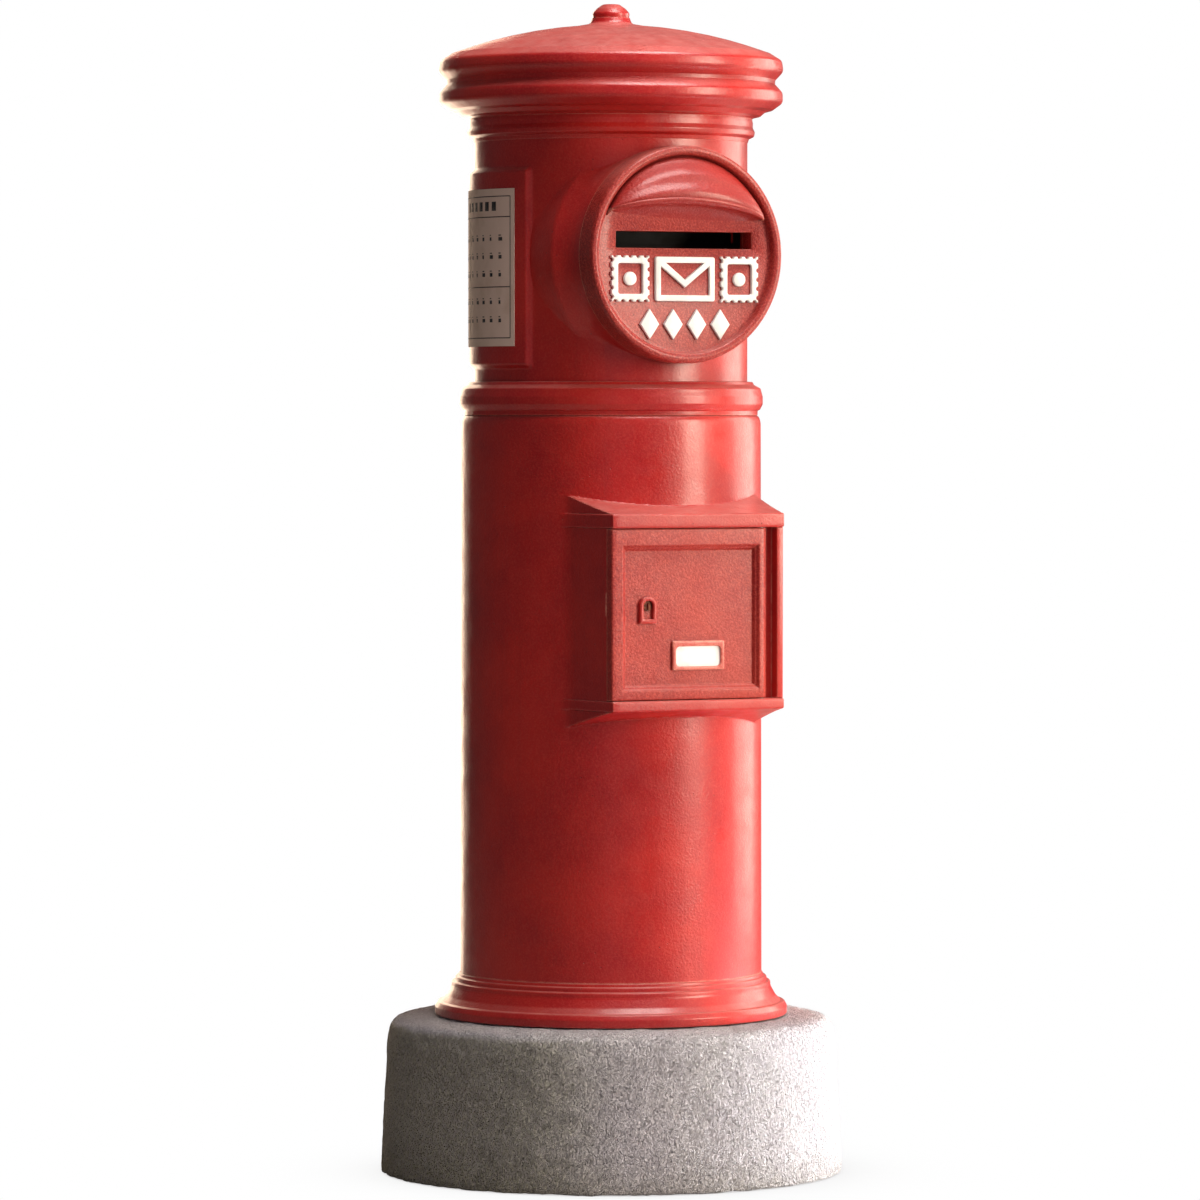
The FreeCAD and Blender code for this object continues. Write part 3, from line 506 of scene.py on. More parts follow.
def make_concrete(name):
    """Rough-cast concrete: sandy grains, open pits, damp at the foot and a greenish painted shade on the
    left side.
    """
    s = Shader(name)
    across, _, height = s.split(s.place)
    wide = s.ramp(s.noise(7.0, 4.0, 0.65), 0.3, 0.72)
    colour = s.mix(wide, (0.92, 0.89, 0.97, 1), (0.99, 0.98, 1.0, 1))
    sand = s.ramp(s.noise(520.0, 2.0, 0.7), 0.30, 0.72)
    colour = s.layer(colour, sand, 0.42, (0.95, 0.93, 0.96, 1))
    dark_sand = s.ramp(s.noise(300.0, 3.0, 0.75), 0.56, 0.74)
    colour = s.layer(colour, dark_sand, 0.26, (0.20, 0.17, 0.16, 1))
    lilac = s.ramp(s.noise(3.0, 3.0), 0.45, 0.7)
    colour = s.layer(colour, lilac, 0.30, (0.60, 0.56, 0.62, 1))
    damp = s.math("ADD", height, s.times(s.noise(30.0, 3.0), 0.05))
    colour = s.layer(colour, s.ramp(damp, 0.02, 0.085, 1.0, 0.0), 0.45, (0.34, 0.31, 0.22, 1))
    # Greenish and darker on the upright faces of the left side: painted shade for the side away from the
    # key light.
    shaded_side = s.math("ADD", across, s.times(s.noise(26.0, 4.0, 0.7), 0.09))
    painted_left_shade = s.ramp(shaded_side, -0.20, -0.07, 0.66, 0.0)
    upright = s.ramp(s.upward(), 0.3, 0.8, 1.0, 0.1)
    colour = s.layer(colour, painted_left_shade, upright, (0.42, 0.41, 0.23, 1))
    grain = s.ramp(s.noise(1.0, 3.0, 0.7, place=s.stretched((300.0, 300.0, 150.0))), 0.42, 0.62)
    colour = s.layer(colour, s.one_less(grain), 0.40, (0.46, 0.43, 0.47, 1))
    crawl = s.stretched((140.0, 140.0, 100.0))
    worms = s.ramp(s.noise(1.0, 3.0, 0.62, place=crawl, distortion=0.4), 0.25, 0.75)
    open_pits = s.ramp(s.cells(90.0), 0.06, 0.22)
    colour = s.layer(colour, s.one_less(open_pits), 0.22, (0.14, 0.12, 0.11, 1))
    s.set(Base_Color=colour, Roughness=s.ramp(sand, 0.0, 1.0, 0.78, 0.95), Specular_IOR_Level=0.25)
    coarse = s.bump(s.noise(38.0, 3.0, 0.6), 0.0060, 0.7)
    wormy = s.bump(worms, 0.0150, 1.0, below=coarse)
    pitted = s.bump(open_pits, 0.0014, 0.6, below=wormy)
    s.set(Normal=s.bump(grain, 0.0042, 1.0, below=pitted))
    return s.material


def make_white_paint(name):
    """Hand-painted white on the raised emblems, with faint worn patches where red shows."""
    s = Shader(name)
    wear = s.ramp(s.noise(120.0, 4.0, 0.7), 0.60, 0.74)
    colour = s.mix(s.ramp(s.noise(30.0, 3.0), 0.3, 0.7), (0.80, 0.79, 0.76, 1), (0.90, 0.89, 0.87, 1))
    colour = s.layer(colour, wear, 0.35, (0.62, 0.30, 0.27, 1))
    s.set(Base_Color=colour, Roughness=s.ramp(s.noise(60.0), 0.3, 0.7, 0.34, 0.5), Coat_Weight=0.2)
    s.set(Normal=s.bump(s.noise(200.0, 3.0, 0.6), 0.0008, 0.6))
    return s.material


def make_steel(name, tone=0.55, rough=0.35):
    """Zinc or machined steel with fine tool marks and dull patches."""
    s = Shader(name)
    marks = s.noise(1.0, 3.0, 0.6, place=s.stretched((4.0, 4.0, 240.0)))
    dull = s.ramp(s.noise(40.0, 3.0), 0.35, 0.7)
    colour = s.mix(dull, (tone, tone * 1.01, tone * 1.03, 1), (tone * 0.72, tone * 0.70, tone * 0.66, 1))

    s.set(Base_Color=colour, Metallic=0.9, Roughness=s.ramp(marks, 0.3, 0.7, rough, rough + 0.2))
    s.set(Normal=s.bump(marks, 0.0003, 0.5))
    return s.material


def make_brass(name, rubbed_and_highlit_edges, dark):
    """Brass gone dark in patches."""
    s = Shader(name)
    tarnish = s.ramp(s.noise(160.0, 4.0, 0.7), 0.35, 0.65)
    colour = s.mix(tarnish, rubbed_and_highlit_edges, dark)
    s.set(Base_Color=colour, Metallic=0.85, Roughness=s.ramp(tarnish, 0.0, 1.0, 0.35, 0.6))
    s.set(Normal=s.bump(s.noise(600.0, 2.0), 0.0003, 0.5))
    return s.material

def make_black_steel(name):
    s = Shader(name)
    colour = s.mix(s.ramp(s.noise(70.0, 4.0), 0.4, 0.7), (0.022, 0.022, 0.024, 1), (0.05, 0.045, 0.04, 1))
    s.set(Base_Color=colour, Roughness=s.ramp(s.noise(90.0, 3.0), 0.3, 0.7, 0.4, 0.65))
    s.set(Normal=s.bump(s.noise(420.0, 2.0), 0.0004, 0.6))
    return s.material


def make_paper(name, tone):
    """Card stock with faint fibres and hand marks."""
    s = Shader(name)
    fibres = s.noise(1.0, 4.0, 0.7, place=s.stretched((900.0, 900.0, 260.0)))
    soil = s.ramp(s.noise(26.0, 4.0, 0.6), 0.45, 0.75)
    colour = s.mix(soil, tone, (tone[0] * 0.86, tone[1] * 0.84, tone[2] * 0.80, 1))
    s.set(Base_Color=colour, Roughness=s.ramp(fibres, 0.3, 0.7, 0.55, 0.75))
    s.set(Normal=s.bump(fibres, 0.0002, 0.5))
    return s.material


def make_ink(name):
    s = Shader(name)
    colour = s.mix(s.ramp(s.noise(500.0, 3.0), 0.45, 0.7), (0.018, 0.020, 0.020, 1), (0.09, 0.09, 0.085, 1))
    s.set(Base_Color=colour, Roughness=s.ramp(s.noise(200.0), 0.3, 0.7, 0.5, 0.7))
    s.set(Normal=s.bump(s.noise(700.0, 2.0), 0.0001, 0.5))
    return s.material

deep_red = (0.37, 0.005, 0.009, 1)
bright_red = (0.52, 0.015, 0.011, 1)
coarse_cast = {"grain": 2.6, "gloss": -0.1, "speckled": 0.5}
enamel = make_enamel("red_enamel", deep_red, bright_red)
trunk_enamel = make_enamel("trunk_enamel", deep_red, bright_red, edge_wear_and_highlight=0.0)
# Darker copies of the red enamel for the slot plate, the door and the hood: painted shade that tones down
# the key light on these front faces.
shaded_plate_enamel = make_enamel("shaded_plate_enamel", (0.27, 0.006, 0.007, 1), (0.34, 0.016, 0.009, 1), **coarse_cast)
shaded_door_enamel = make_enamel("shaded_door_enamel", (0.30, 0.006, 0.007, 1), (0.41, 0.022, 0.011, 1), **coarse_cast)
shaded_hood_enamel = make_enamel(
    "shaded_hood_enamel", (0.28, 0.005, 0.006, 1), (0.35, 0.012, 0.008, 1), grain=2.2, gloss=-0.1, top_dust_and_sheen=0.0
)
smooth_enamel = make_enamel("smooth_enamel", deep_red, bright_red, grain=0.9, gloss=0.02)
concrete = make_concrete("rough_concrete")
white_paint = make_white_paint("white_paint")
zinc = make_steel("zinc_steel")
bright_steel = make_steel("bright_steel", tone=0.62, rough=0.24)
brass = make_brass("aged_brass", (0.30, 0.19, 0.07, 1), (0.075, 0.05, 0.03, 1))
dull_brass = make_brass("dull_brass", (0.16, 0.045, 0.025, 1), (0.05, 0.02, 0.015, 1))
shaded_zinc = make_steel("shaded_zinc", tone=0.10, rough=0.5)
black_steel = make_black_steel("black_steel")
card_paper = make_paper("card_paper", (0.97, 0.97, 0.97, 1))
sheet_paper = make_paper("sheet_paper", (0.76, 0.59, 0.48, 1))
ink = make_ink("printed_ink")

cad_finishes = {
    "red_enamel": enamel,
    "white_enamel": white_paint,
    "concrete": concrete,
    "timetable_print": sheet_paper,
    "card_paper": card_paper,
    "lock_brass": brass,
    "bright_steel": bright_steel,
    "black_steel": black_steel,
    "zinc_steel": zinc,
}

own_finishes = {"lock_plug": dull_brass}
# The chute inside the mouth gets a near-black zinc: painted shade for the dark inside of the slot.
own_finishes.update({node: shaded_zinc for node in ("chute_flange", "chute_guide", "chute_floor")})

def finish_cad_nodes():
    """Gives every CAD node that stays the finish of its material slot, or its own."""
    slot_of = {part["node"]: part["material_slot"] for part in frame["record"]["subparts"]}
    for name, piece in nodes.items():
        piece.data.materials.clear()
        piece.data.materials.append(own_finishes.get(name, cad_finishes[slot_of[name]]))


finish_cad_nodes()

# --- Castings turned about the vertical axis ---


def turned_casting(node, corners, longest, material=enamel):
    """Piece turned from rounded corners, in place of a CAD node of the same name."""
    path = subdivided(rounded(corners), longest)
    cast(node, lathe_mesh(node + "_cast", path), material, crisp=35)


def roughen(piece, depth, scale):
    """Sinks the surface by smooth noise, never outwards, so that the piece keeps its size."""
    mesh = piece.data
    normals = [v.normal.copy() for v in mesh.vertices]
    for vertex, normal in zip(mesh.vertices, normals):
        value = noise.fractal(vertex.co * scale, 0.8, 2.1, 4)
        sink = min(max(0.5 + 0.6 * value, 0.0), 1.0)
        vertex.co -= normal * sink * depth

def make_concrete_base():
    base_radius = Extent("concrete_base").right
    top_radius = base_radius - 10
    low = -ground_to_foot
    corners = [
        (0, low, 0), (base_radius - 1, low, 5), (base_radius - 0.5, low + 8, 14),
        (top_radius, -34, 60), (top_radius - 5, -4, 24), (top_radius - 34, 0, 30), (0, 0, 0),
    ]
    mesh = lathe_mesh("concrete_base_cast", subdivided(rounded(corners, 8), 5.0), 320)
    piece = link("concrete_base_cast", mesh, "cabinet", concrete, "concrete", "concrete_base")
    roughen(piece, 0.0022, 42.0)


def make_foot_ring():
    web_inner = 188
    base_flange = 14
    under_flange = foot_top - flange_thickness
    bevels = [
        (234.5, 0.6, 1.5), (235, 11, 4), (231.5, 17.5, 3), (226, 18.5, 1), (219.5, 25.5, 14),
        (213.5, 36.5, 8), (212.8, 39, 0.5), (212.8, 44.5, 2.6), (207.6, 45.6, 0.5),
        (207.8, 51, 2.4), (203.6, 52, 0.5), (202.4, 55.8, 1.5),
    ]
    inside = [
        (flange_inner, foot_top, 0), (flange_inner, under_flange, 0), (web_inner, under_flange, 0),
        (web_inner, base_flange, 0), (flange_inner, base_flange, 0),
    ]
    turned_casting("foot_ring", [(flange_inner, 0, 0), *bevels, *inside], 3.5)


def make_waist_ring():
    seat = waist_low + flange_thickness
    inner = upper_radius + 0.3
    beads = [
        (195.2, waist_low, 0.8), (195.4, 804.2, 0.6), (198.6, 805.8, 1.0), (202.2, 813, 5),
        (202.2, 823, 4), (200.6, 828.6, 1.0), (199.4, 833.8, 4), (190.5, 838.6, 1.6),
        (188.6, 842.4, 1.6),
    ]
    inside = [(inner, waist_high, 0), (inner, seat, 0), (flange_inner, seat, 0)]
    turned_casting("waist_ring", [(flange_inner, waist_low, 0), *beads, *inside], 3.0)


def make_neck_ring():
    corners = [
        (flange_inner, neck_low, 0), (182.0, neck_low, 0.8), (183.6, 1165.4, 1.2),
        (190.2, 1168.4, 2.6), (191.5, 1174, 3), (188.6, 1180.2, 1.0), (188.8, 1186.5, 2),
        (187.6, neck_high, 0), (flange_inner, neck_high, 0),
    ]
    turned_casting("neck_ring", corners, 3.0)


dome_radius = 602.0


def dome_height(radius):
    """Height of the spherical dome at this distance from its axis."""
    return dome_top - dome_radius + math.sqrt(dome_radius**2 - radius**2)


def make_roof_cap():
    collar = [(0, knob_seat, 0), (25.0, knob_seat, 0.8), (27.6, dome_height(27.6) + 2.2, 9)]
    dome = [(r, dome_height(r), 40) for r in (48, 76, 105, 135, 160, 182)]
    brim = [
        (205.5, dome_height(205.5), 1.8), (212.5, 1278.4, 1.2), (227.5, 1269, 8), (229.5, 1255, 9),
        (218.6, 1243.4, 1.6), (218.2, 1238, 1.6), (228.4, 1226.5, 8), (228.6, 1213.5, 8),
        (215.5, 1203.8, 3), (205.5, 1201.2, 1.6), (199, 1195.6, 2.4), (190.5, 1193.8, 1.0),
        (188, neck_high, 0),
    ]
    flange_top = neck_high + 20
    inside = [
        (flange_inner, neck_high, 0), (flange_inner, flange_top, 0), (200, flange_top, 0),
        (198, 1271, 0), (115, 1296, 0), (20, 1307, 0), (20, 1302, 0), (0, 1302, 0),
    ]
    turned_casting("roof_cap", [*collar, *dome, *brim, *inside], 5.0)


def make_finial_knob():
    sunk_seat = knob_seat - 0.4
    corners = [
        (0, sunk_seat, 0), (23.8, sunk_seat, 0.8), (24.8, knob_seat + 6, 5),
        (19.5, knob_top - 6.5, 9), (11, knob_top - 0.6, 8), (0, knob_top, 0),
    ]
    turned_casting("finial_knob", corners, 1.6, smooth_enamel)


# --- Lower trunk with the door housing ---

tiny = 1e-6
fine_step = 0.25


wall_draft = 0.13
housing_fillet = 8.0
slope_fillet = 5.0
ledge_lip = 2.0


def signed_angles(angles):
    """Angles from the front, between minus and plus half a turn."""
    return (angles + math.pi) % (2 * math.pi) - math.pi


def housing_radius(angles, front, half_width):
    """Radius of the projecting box at each angle from the front, with round upright edges and
    side walls that spread towards the trunk."""
    to_front = front / np.maximum(np.cos(angles), 1e-3)
    spread = np.abs(np.sin(angles)) + wall_draft * np.cos(angles)
    to_side = (half_width + wall_draft * seat_front) / np.maximum(spread, 1e-3)
    ahead = np.cos(angles) > 0.2
    return np.where(ahead, smooth_min(to_front, to_side, 4.5), 0.0)


def slope_front(height):
    """Distance to the front of the housing's sloping top or bottom: level at first, then rising."""
    beyond = max(housing_low - height, height - housing_high)
    run = slope_run * (beyond / housing_slope) ** (1 / 1.15)
    return housing_front - run


def lower_trunk_radius(height):
    """Radius of the plain trunk: it narrows a little upwards and has a round shoulder at the top."""
    share = (height - foot_top) / (waist_low - foot_top)
    shoulder = 14.0
    drawn_in = edge_round(np.array(waist_low - height), shoulder) * 0.4
    return lower_foot_radius + (lower_shoulder_radius - lower_foot_radius) * share - drawn_in


def lower_trunk_outer(height, angles):
    trunk = np.full(len(angles), float(lower_trunk_radius(height)))
    if height < housing_low or height > housing_high:
        slope = housing_radius(angles, max(slope_front(height), 20.0), housing_half)
        return smooth_max(trunk, slope, slope_fillet)
    if sill_top < height < lintel_low:
        return smooth_max(trunk, housing_radius(angles, seat_front, housing_half), housing_fillet)
    low, high = (housing_low, sill_top) if height <= sill_top else (lintel_low, housing_high)
    front = ledge_front - float(edge_round(np.array(min(height - low, high - height)), 2.5))
    housing = housing_radius(angles, front, housing_half + ledge_lip - (ledge_front - front))
    return smooth_max(trunk, housing, housing_fillet)


def make_lower_trunk():
    step = fine_step
    opening_left = math.atan2(-doorway_left, seat_front)
    opening_right = math.atan2(doorway_right, seat_front)
    inner_radius = lower_foot_radius - lower_wall
    wall_left = math.asin(-doorway_left / inner_radius)
    wall_right = math.asin(doorway_right / inner_radius)
    side_end = math.radians(60)
    around = spaced([(side_end, 0.045), (2 * math.pi - side_end, 1)])
    front = [(-side_end, 0.012), (-wall_left, 0.008), (-opening_left, 0.03), (0, 0.03), (opening_right, 1)]
    left = spaced(front)
    right = spaced([(opening_right, 0.02), (wall_right, 0.012), (side_end, 1)])
    angles = np.concatenate([left[:-1], right[:-1], around[:-1]])
    flange_low = foot_top + flange_thickness
    flange_high = waist_low - flange_thickness
    below_door = [
        (foot_top, 6), (flange_low, step), (flange_low + step, 22),
        (housing_low - housing_slope - 5, 1.2), (housing_low - 3, 0.5), (housing_low, 0.6),
        (housing_low + 3, 4), (sill_top - 2.5, 0.6), (sill_top, step), (sill_top + step, 3),
    ]
    beside_door = [
        (doorway_low - step, step), (doorway_low, 16), (pocket_low - step, step), (pocket_low, 7),
        (pocket_high, step), (pocket_high + step, 16), (doorway_high, step), (doorway_high + step, 3),
    ]
    above_door = [
        (lintel_low - step, step), (lintel_low, 0.6), (lintel_low + 2.5, 4),
        (housing_high - 3, 0.6), (housing_high, 0.5), (housing_high + 3, 1.2),
        (housing_high + housing_slope + 5, 15), (flange_high - step, step), (flange_high, 1.2),
        (waist_low, 1),
    ]
    heights = spaced([*below_door, *beside_door, *above_door])
    outer = np.array([lower_trunk_outer(height, angles) for height in heights])
    inner = np.full(outer.shape, inner_radius)
    is_open = np.zeros(outer.shape, bool)
    signed = signed_angles(angles)
    on_left = (signed >= -wall_left - tiny) & (signed <= -opening_left + tiny)
    on_right = (signed >= opening_right - tiny) & (signed <= wall_right + tiny)
    along_wall = doorway_left / np.tan(np.minimum(signed, -0.3))
    in_pocket = on_left & (along_wall > pocket_back) & (along_wall < pocket_front)
    between = (signed >= -opening_left - tiny) & (signed <= opening_right + tiny)
    for i, height in enumerate(heights):
        if height <= flange_low + tiny or height >= flange_high - tiny:
            inner[i] = flange_inner
        if doorway_low - tiny <= height <= doorway_high + tiny:
            inner[i][on_left] = doorway_left / np.sin(signed[on_left])
            inner[i][on_right] = doorway_right / np.sin(signed[on_right])
            if pocket_low - tiny <= height <= pocket_high + tiny:
                inner[i][in_pocket] = (doorway_left - pocket_depth) / np.sin(signed[in_pocket])
            inner[i][between] = outer[i][between]
            is_open[i] = between & (signed < opening_right - tiny) & (height < doorway_high - tiny)
    mesh = cast_shell("lower_trunk_cast", angles, heights, outer, inner, is_open)
    left, right = 117, 126.5
    strip = [(left, sill_top), (right, sill_top), (right, lintel_low), (left, lintel_low)]
    merge_into(mesh, prism_mesh("hinge_strip", [strip], housing_front, seat_front - 2, 1.6))
    cast("lower_trunk", mesh, enamel, crisp=32)


def merge_into(mesh, *others):
    """Adds closed meshes to a mesh and drops them."""
    bm = bmesh.new()
    bm.from_mesh(mesh)
    for other in others:
        bm.from_mesh(other)
        bpy.data.meshes.remove(other)
    bm.to_mesh(mesh)
    bm.free()

# --- Upper trunk with the timetable pad and the mouth's drum ---

drum_spread = 18.0
drum_length = 43.0
pad_middle = math.radians(-98)
pad_half = math.radians(36)
pad_low = 858.0
pad_high = 1126.0
pad_proud = 7.0
pad_ramp = 9
window_half = 106.0
window_low = 1010.0
window_high = 1044.0
recess_radius = 130.0
drum_wall = 12.0


def drum_depth(radius):
    """Distance to the front of the drum's flared side at this distance from the mouth's axis."""
    share = np.clip((radius - mouth_radius) / drum_spread, 0, None)
    flared = plate_back - drum_length * np.minimum(share, 1) ** (1 / 2.2)
    return flared - np.maximum(share - 1, 0) * drum_spread * 11


def upper_trunk_outer(height, angles, signed):
    away = np.abs(signed_angles(signed - pad_middle))
    across = smooth_step((pad_half - away) * upper_radius, 0, pad_ramp)
    upright = smooth_step(np.array(min(height - pad_low, pad_high - height)), 0, pad_ramp)
    trunk = upper_radius + pad_proud * across * upright
    nearest, farthest = 170.0, 300.0
    low = np.full(len(angles), nearest)
    high = np.full(len(angles), farthest)
    for _ in range(40):
        middle = (low + high) / 2
        x = middle * np.sin(signed)
        ahead = middle * np.cos(signed)
        from_axis = np.hypot(x, height - mouth_height) + 2.5
        inside = (ahead < drum_depth(from_axis) - 2.5) & (from_axis < 400)
        inside &= (ahead < plate_back) & (ahead > 0)
        low = np.where(inside, middle, low)
        high = np.where(inside, high, middle)
    return np.maximum(trunk, np.where(low > nearest + 1, low, 0))


def make_upper_trunk():
    step = fine_step
    window_angle = math.atan2(window_half, plate_back)
    side = math.radians(66)
    pad_left = pad_middle - pad_half
    pad_right = pad_middle + pad_half
    fine = math.radians(3.4)
    pad = [
        (pad_left - fine / 4, 0.006), (pad_left + fine, 0.05),
        (pad_right - fine, 0.006), (pad_right + fine / 4, 0.025),
    ]
    window = [(-window_angle, 0.03), (window_angle, 0.025), (side, 0.05)]
    angles = spaced([*pad, *window, (pad_left - fine / 4 + 2 * math.pi, 1)])[:-1]
    seat = waist_low + flange_thickness
    lower_rim = seat + 10
    upper_rim = neck_low - 10
    stops = [
        (seat, 10), (lower_rim, step), (lower_rim + step, 8), (pad_low - 1, 1.2), (pad_low + 10, 4),
        (window_low - step, step), (window_low, 4), (window_high, step), (window_high + step, 4),
        (pad_high - 10, 1.2), (pad_high + 1, 4), (upper_rim - step, step), (upper_rim, 5),
        (neck_low, 1),
    ]
    heights = spaced(stops)
    signed = signed_angles(angles)
    outer = np.array([upper_trunk_outer(height, angles, signed) for height in heights])
    inner = np.full(outer.shape, upper_radius - upper_wall)
    is_open = np.zeros(outer.shape, bool)
    for i, height in enumerate(heights):
        if height <= lower_rim + tiny or height >= upper_rim - tiny:
            inner[i] = flange_inner
            continue
        recess = (plate_back - drum_wall) / np.maximum(np.cos(signed), 0.2)
        within = np.hypot(recess * np.sin(signed), height - mouth_height) < recess_radius
        inner[i] = np.where(within & (np.abs(signed) < side), np.maximum(recess, inner[i]), inner[i])
        inner[i] = np.minimum(inner[i], outer[i] - 2)
        if window_low - tiny <= height <= window_high + tiny:
            edge = np.abs(signed) <= window_angle + tiny
            inner[i][edge] = outer[i][edge]
            is_open[i] = edge & (signed < window_angle - tiny) & (height < window_high - tiny)
    mesh = cast_shell("upper_trunk_cast", angles, heights, outer, inner, is_open)
    merge_into(mesh, drum_skirt_mesh())
    cast("upper_trunk", mesh, trunk_enamel, crisp=32)

def drum_skirt_mesh():
    """The drum's side as a closed skirt that flows out of the trunk, round about the mouth's axis."""
    columns = 240
    flare = [0, 0.2, 0.5, 1, 1.7, 2.6, 3.8, 5.2, 7, 9]
    reach = [*flare, 11.2, 13.4, 15.4, 17, 18.4, 19.8, 21.4, 23.2, 25.5, 28.5]
    wall = 3.5
    points = []
    for layer in range(2):
        for k in range(columns):
            turn = 2 * math.pi * k / columns
            for out in reach:
                radius = mouth_radius + out
                x = radius * math.cos(turn)
                z = mouth_height + radius * math.sin(turn)
                on_trunk = math.sqrt(max(upper_radius**2 - x**2, 0)) - 0.35
                depth = float(smooth_max(np.array(on_trunk), drum_depth(np.array(radius)), 7.0))
                if layer:
                    x -= wall * math.cos(turn)
                    z -= wall * math.sin(turn)
                    depth -= wall
                points.append(to_metres(x, -min(depth, plate_back), z))
    faces = []
    count = len(reach)
    inner = columns * count
    for k in range(columns):
        here = k * count
        there = (k + 1) % columns * count
        for j in range(count - 1):
            faces.append((here + j, here + j + 1, there + j + 1, there + j))
            faces.append((inner + here + j, inner + there + j, inner + there + j + 1, inner + here + j + 1))
        for j in (0, count - 1):
            faces.append((here + j, there + j, inner + there + j, inner + here + j))
    return mesh_from("drum_skirt", points, faces)


# --- Posting mouth ---

slot_height = 1027.0
slot_half = 100.5
slot_half_opening = 11.0


def rectangle(x, z, half_width, half_height, radius=0.0, segments=4):
    """Closed outline of a rectangle about a centre, with round corners."""
    if radius <= 0:
        signs = [(-1, -1), (1, -1), (1, 1), (-1, 1)]
        return [(x + sx * half_width, z + sz * half_height) for sx, sz in signs]
    outline = []
    for corner, (sx, sz) in enumerate([(1, 1), (-1, 1), (-1, -1), (1, -1)]):
        for k in range(segments + 1):
            angle = math.pi / 2 * (corner + k / segments)
            across = x + sx * (half_width - radius) + radius * math.cos(angle)
            outline.append((across, z + sz * (half_height - radius) + radius * math.sin(angle)))
    return outline


def circle(x, z, radius, segments):
    turns = [2 * math.pi * k / segments for k in range(segments)]
    return [(x + radius * math.cos(t), z + radius * math.sin(t)) for t in turns]


def loop_at(bm, outline, ahead):
    """Closed loop of vertices on an (x, height) outline at one distance to the front."""
    return [bm.verts.new(to_metres(x, -ahead, z)) for x, z in outline]


def bridge(bm, first, second):
    """Wall between two loops that have the same number of vertices."""
    for k in range(len(first)):
        n = (k + 1) % len(first)
        bm.faces.new((first[k], first[n], second[n], second[k]))


def fill_between(bm, *loops):
    """Flat face between an outer loop and the loops of its holes."""
    edges = []
    for loop in loops:
        for a, b in zip(loop, loop[1:] + loop[:1]):
            edges.append(bm.edges.get((a, b)) or bm.edges.new((a, b)))
    bmesh.ops.triangle_fill(bm, use_beauty=True, use_dissolve=False, edges=edges)


def make_slot_plate():
    """Plate with a bead around it and a slot with a soft lip that runs through to its back."""
    rim_inner = mouth_radius - 13.5
    corners = [
        (rim_inner - 4.5, plate_face, 0), (rim_inner - 0.4, plate_face + 0.4, 2.0),
        (rim_inner, plate_face + 3.2, 1.0), (rim_inner + 1.8, rim_front - 2.0, 3.4),
        (mouth_radius - 7, rim_front, 6), (mouth_radius - 1.6, rim_front - 1.2, 3.4),
        (mouth_radius, rim_front - 6, 1), (mouth_radius, plate_back, 0),
    ]
    bm = bmesh.new()
    rings = [
        loop_at(bm, circle(0, mouth_height, radius, 240), ahead)
        for radius, ahead in subdivided(rounded(corners), 2.5)
    ]
    for first, second in zip(rings, rings[1:]):
        bridge(bm, first, second)
    lip = 0.9
    soft_slot = rectangle(0, slot_height, slot_half + lip, slot_half_opening + lip, 2.5)
    slot = rectangle(0, slot_height, slot_half, slot_half_opening, 1.6)
    mouth_loop = loop_at(bm, soft_slot, plate_face)
    slot_front = loop_at(bm, slot, plate_face - lip)
    slot_back = loop_at(bm, slot, plate_back)
    fill_between(bm, rings[0], mouth_loop)
    bridge(bm, mouth_loop, slot_front)
    bridge(bm, slot_front, slot_back)
    fill_between(bm, rings[-1], slot_back)
    bmesh.ops.recalc_face_normals(bm, faces=bm.faces)
    mesh = bpy.data.meshes.new("slot_plate_cast")
    bm.to_mesh(mesh)
    bm.free()
    cast("slot_plate", mesh, shaded_plate_enamel)


hood_radius = 127.0
hood_half = 116.0
hood_end = 1060.0
hood_lip = 1081.0
hood_root = 1046.0
hood_tilt = 5.0
hood_reach = 35.0


def hood_profile(x):
    """Closed profile of the hood at one distance from its middle, as (ahead, height) points: a step
    off the plate, two soft ridges, a round lip and a hollow underside."""
    share = math.sqrt(max(0.0, 1 - (x / hood_half) ** 2))
    crown = mouth_height + math.sqrt(hood_radius**2 - x**2)
    tilt = hood_tilt * x / hood_half
    end = hood_end - tilt
    lip = end + (hood_lip - hood_end) * share**1.5
    root = end + (hood_root - hood_end) * share
    reach = 1.0 + hood_reach * share**0.8
    drop = max(crown - lip, 0.5)
    lip_radius = 0.8 + 3.6 * share
    step = 4.5 * share
    profile = [(-4.0, crown), (step * 0.55, crown + 0.2), (step * 0.95, crown - drop * 0.012)]
    steps = 24
    for k in range(1, steps + 1):
        q = k / steps
        rise = math.sin(q * math.pi / 2) ** 0.95
        wave = -0.042 * math.sin(4 * math.pi * q) * share
        ahead = step + (reach - step) * min(max(rise + wave, 0.0), 1.02)
        profile.append((ahead, crown - drop * q))
    tip = profile[-1]
    for k in range(1, 7):
        angle = math.pi * k / 6
        ahead = tip[0] + lip_radius * (0.8 * math.sin(angle) - 0.5 * (1 - math.cos(angle)))
        profile.append((ahead, tip[1] - lip_radius * (1 - math.cos(angle))))
    under_start = profile[-1]
    for k in range(1, 11):
        q = k / 10
        ahead = under_start[0] * (1 - q) - 4.0 * q
        hollow = 4.0 * share * math.sin(math.pi * q)
        profile.append((ahead, under_start[1] + (root - under_start[1]) * q**2.6 + hollow))
    return profile


def make_slot_hood():
    count = 64
    sections = []
    for i in range(count + 1):
        x = hood_half * math.sin(math.radians(88.5 * (2 * i / count - 1)))
        sections.append([to_metres(x, -(plate_face + ahead), z) for ahead, z in hood_profile(x)])
    cast("slot_hood", loft_mesh("slot_hood_cast", sections), shaded_hood_enamel, crisp=60)


emblem_proud = 4.0
emblem_row = 976.0
emblem_side = 81.0
diamond_row = 917.0


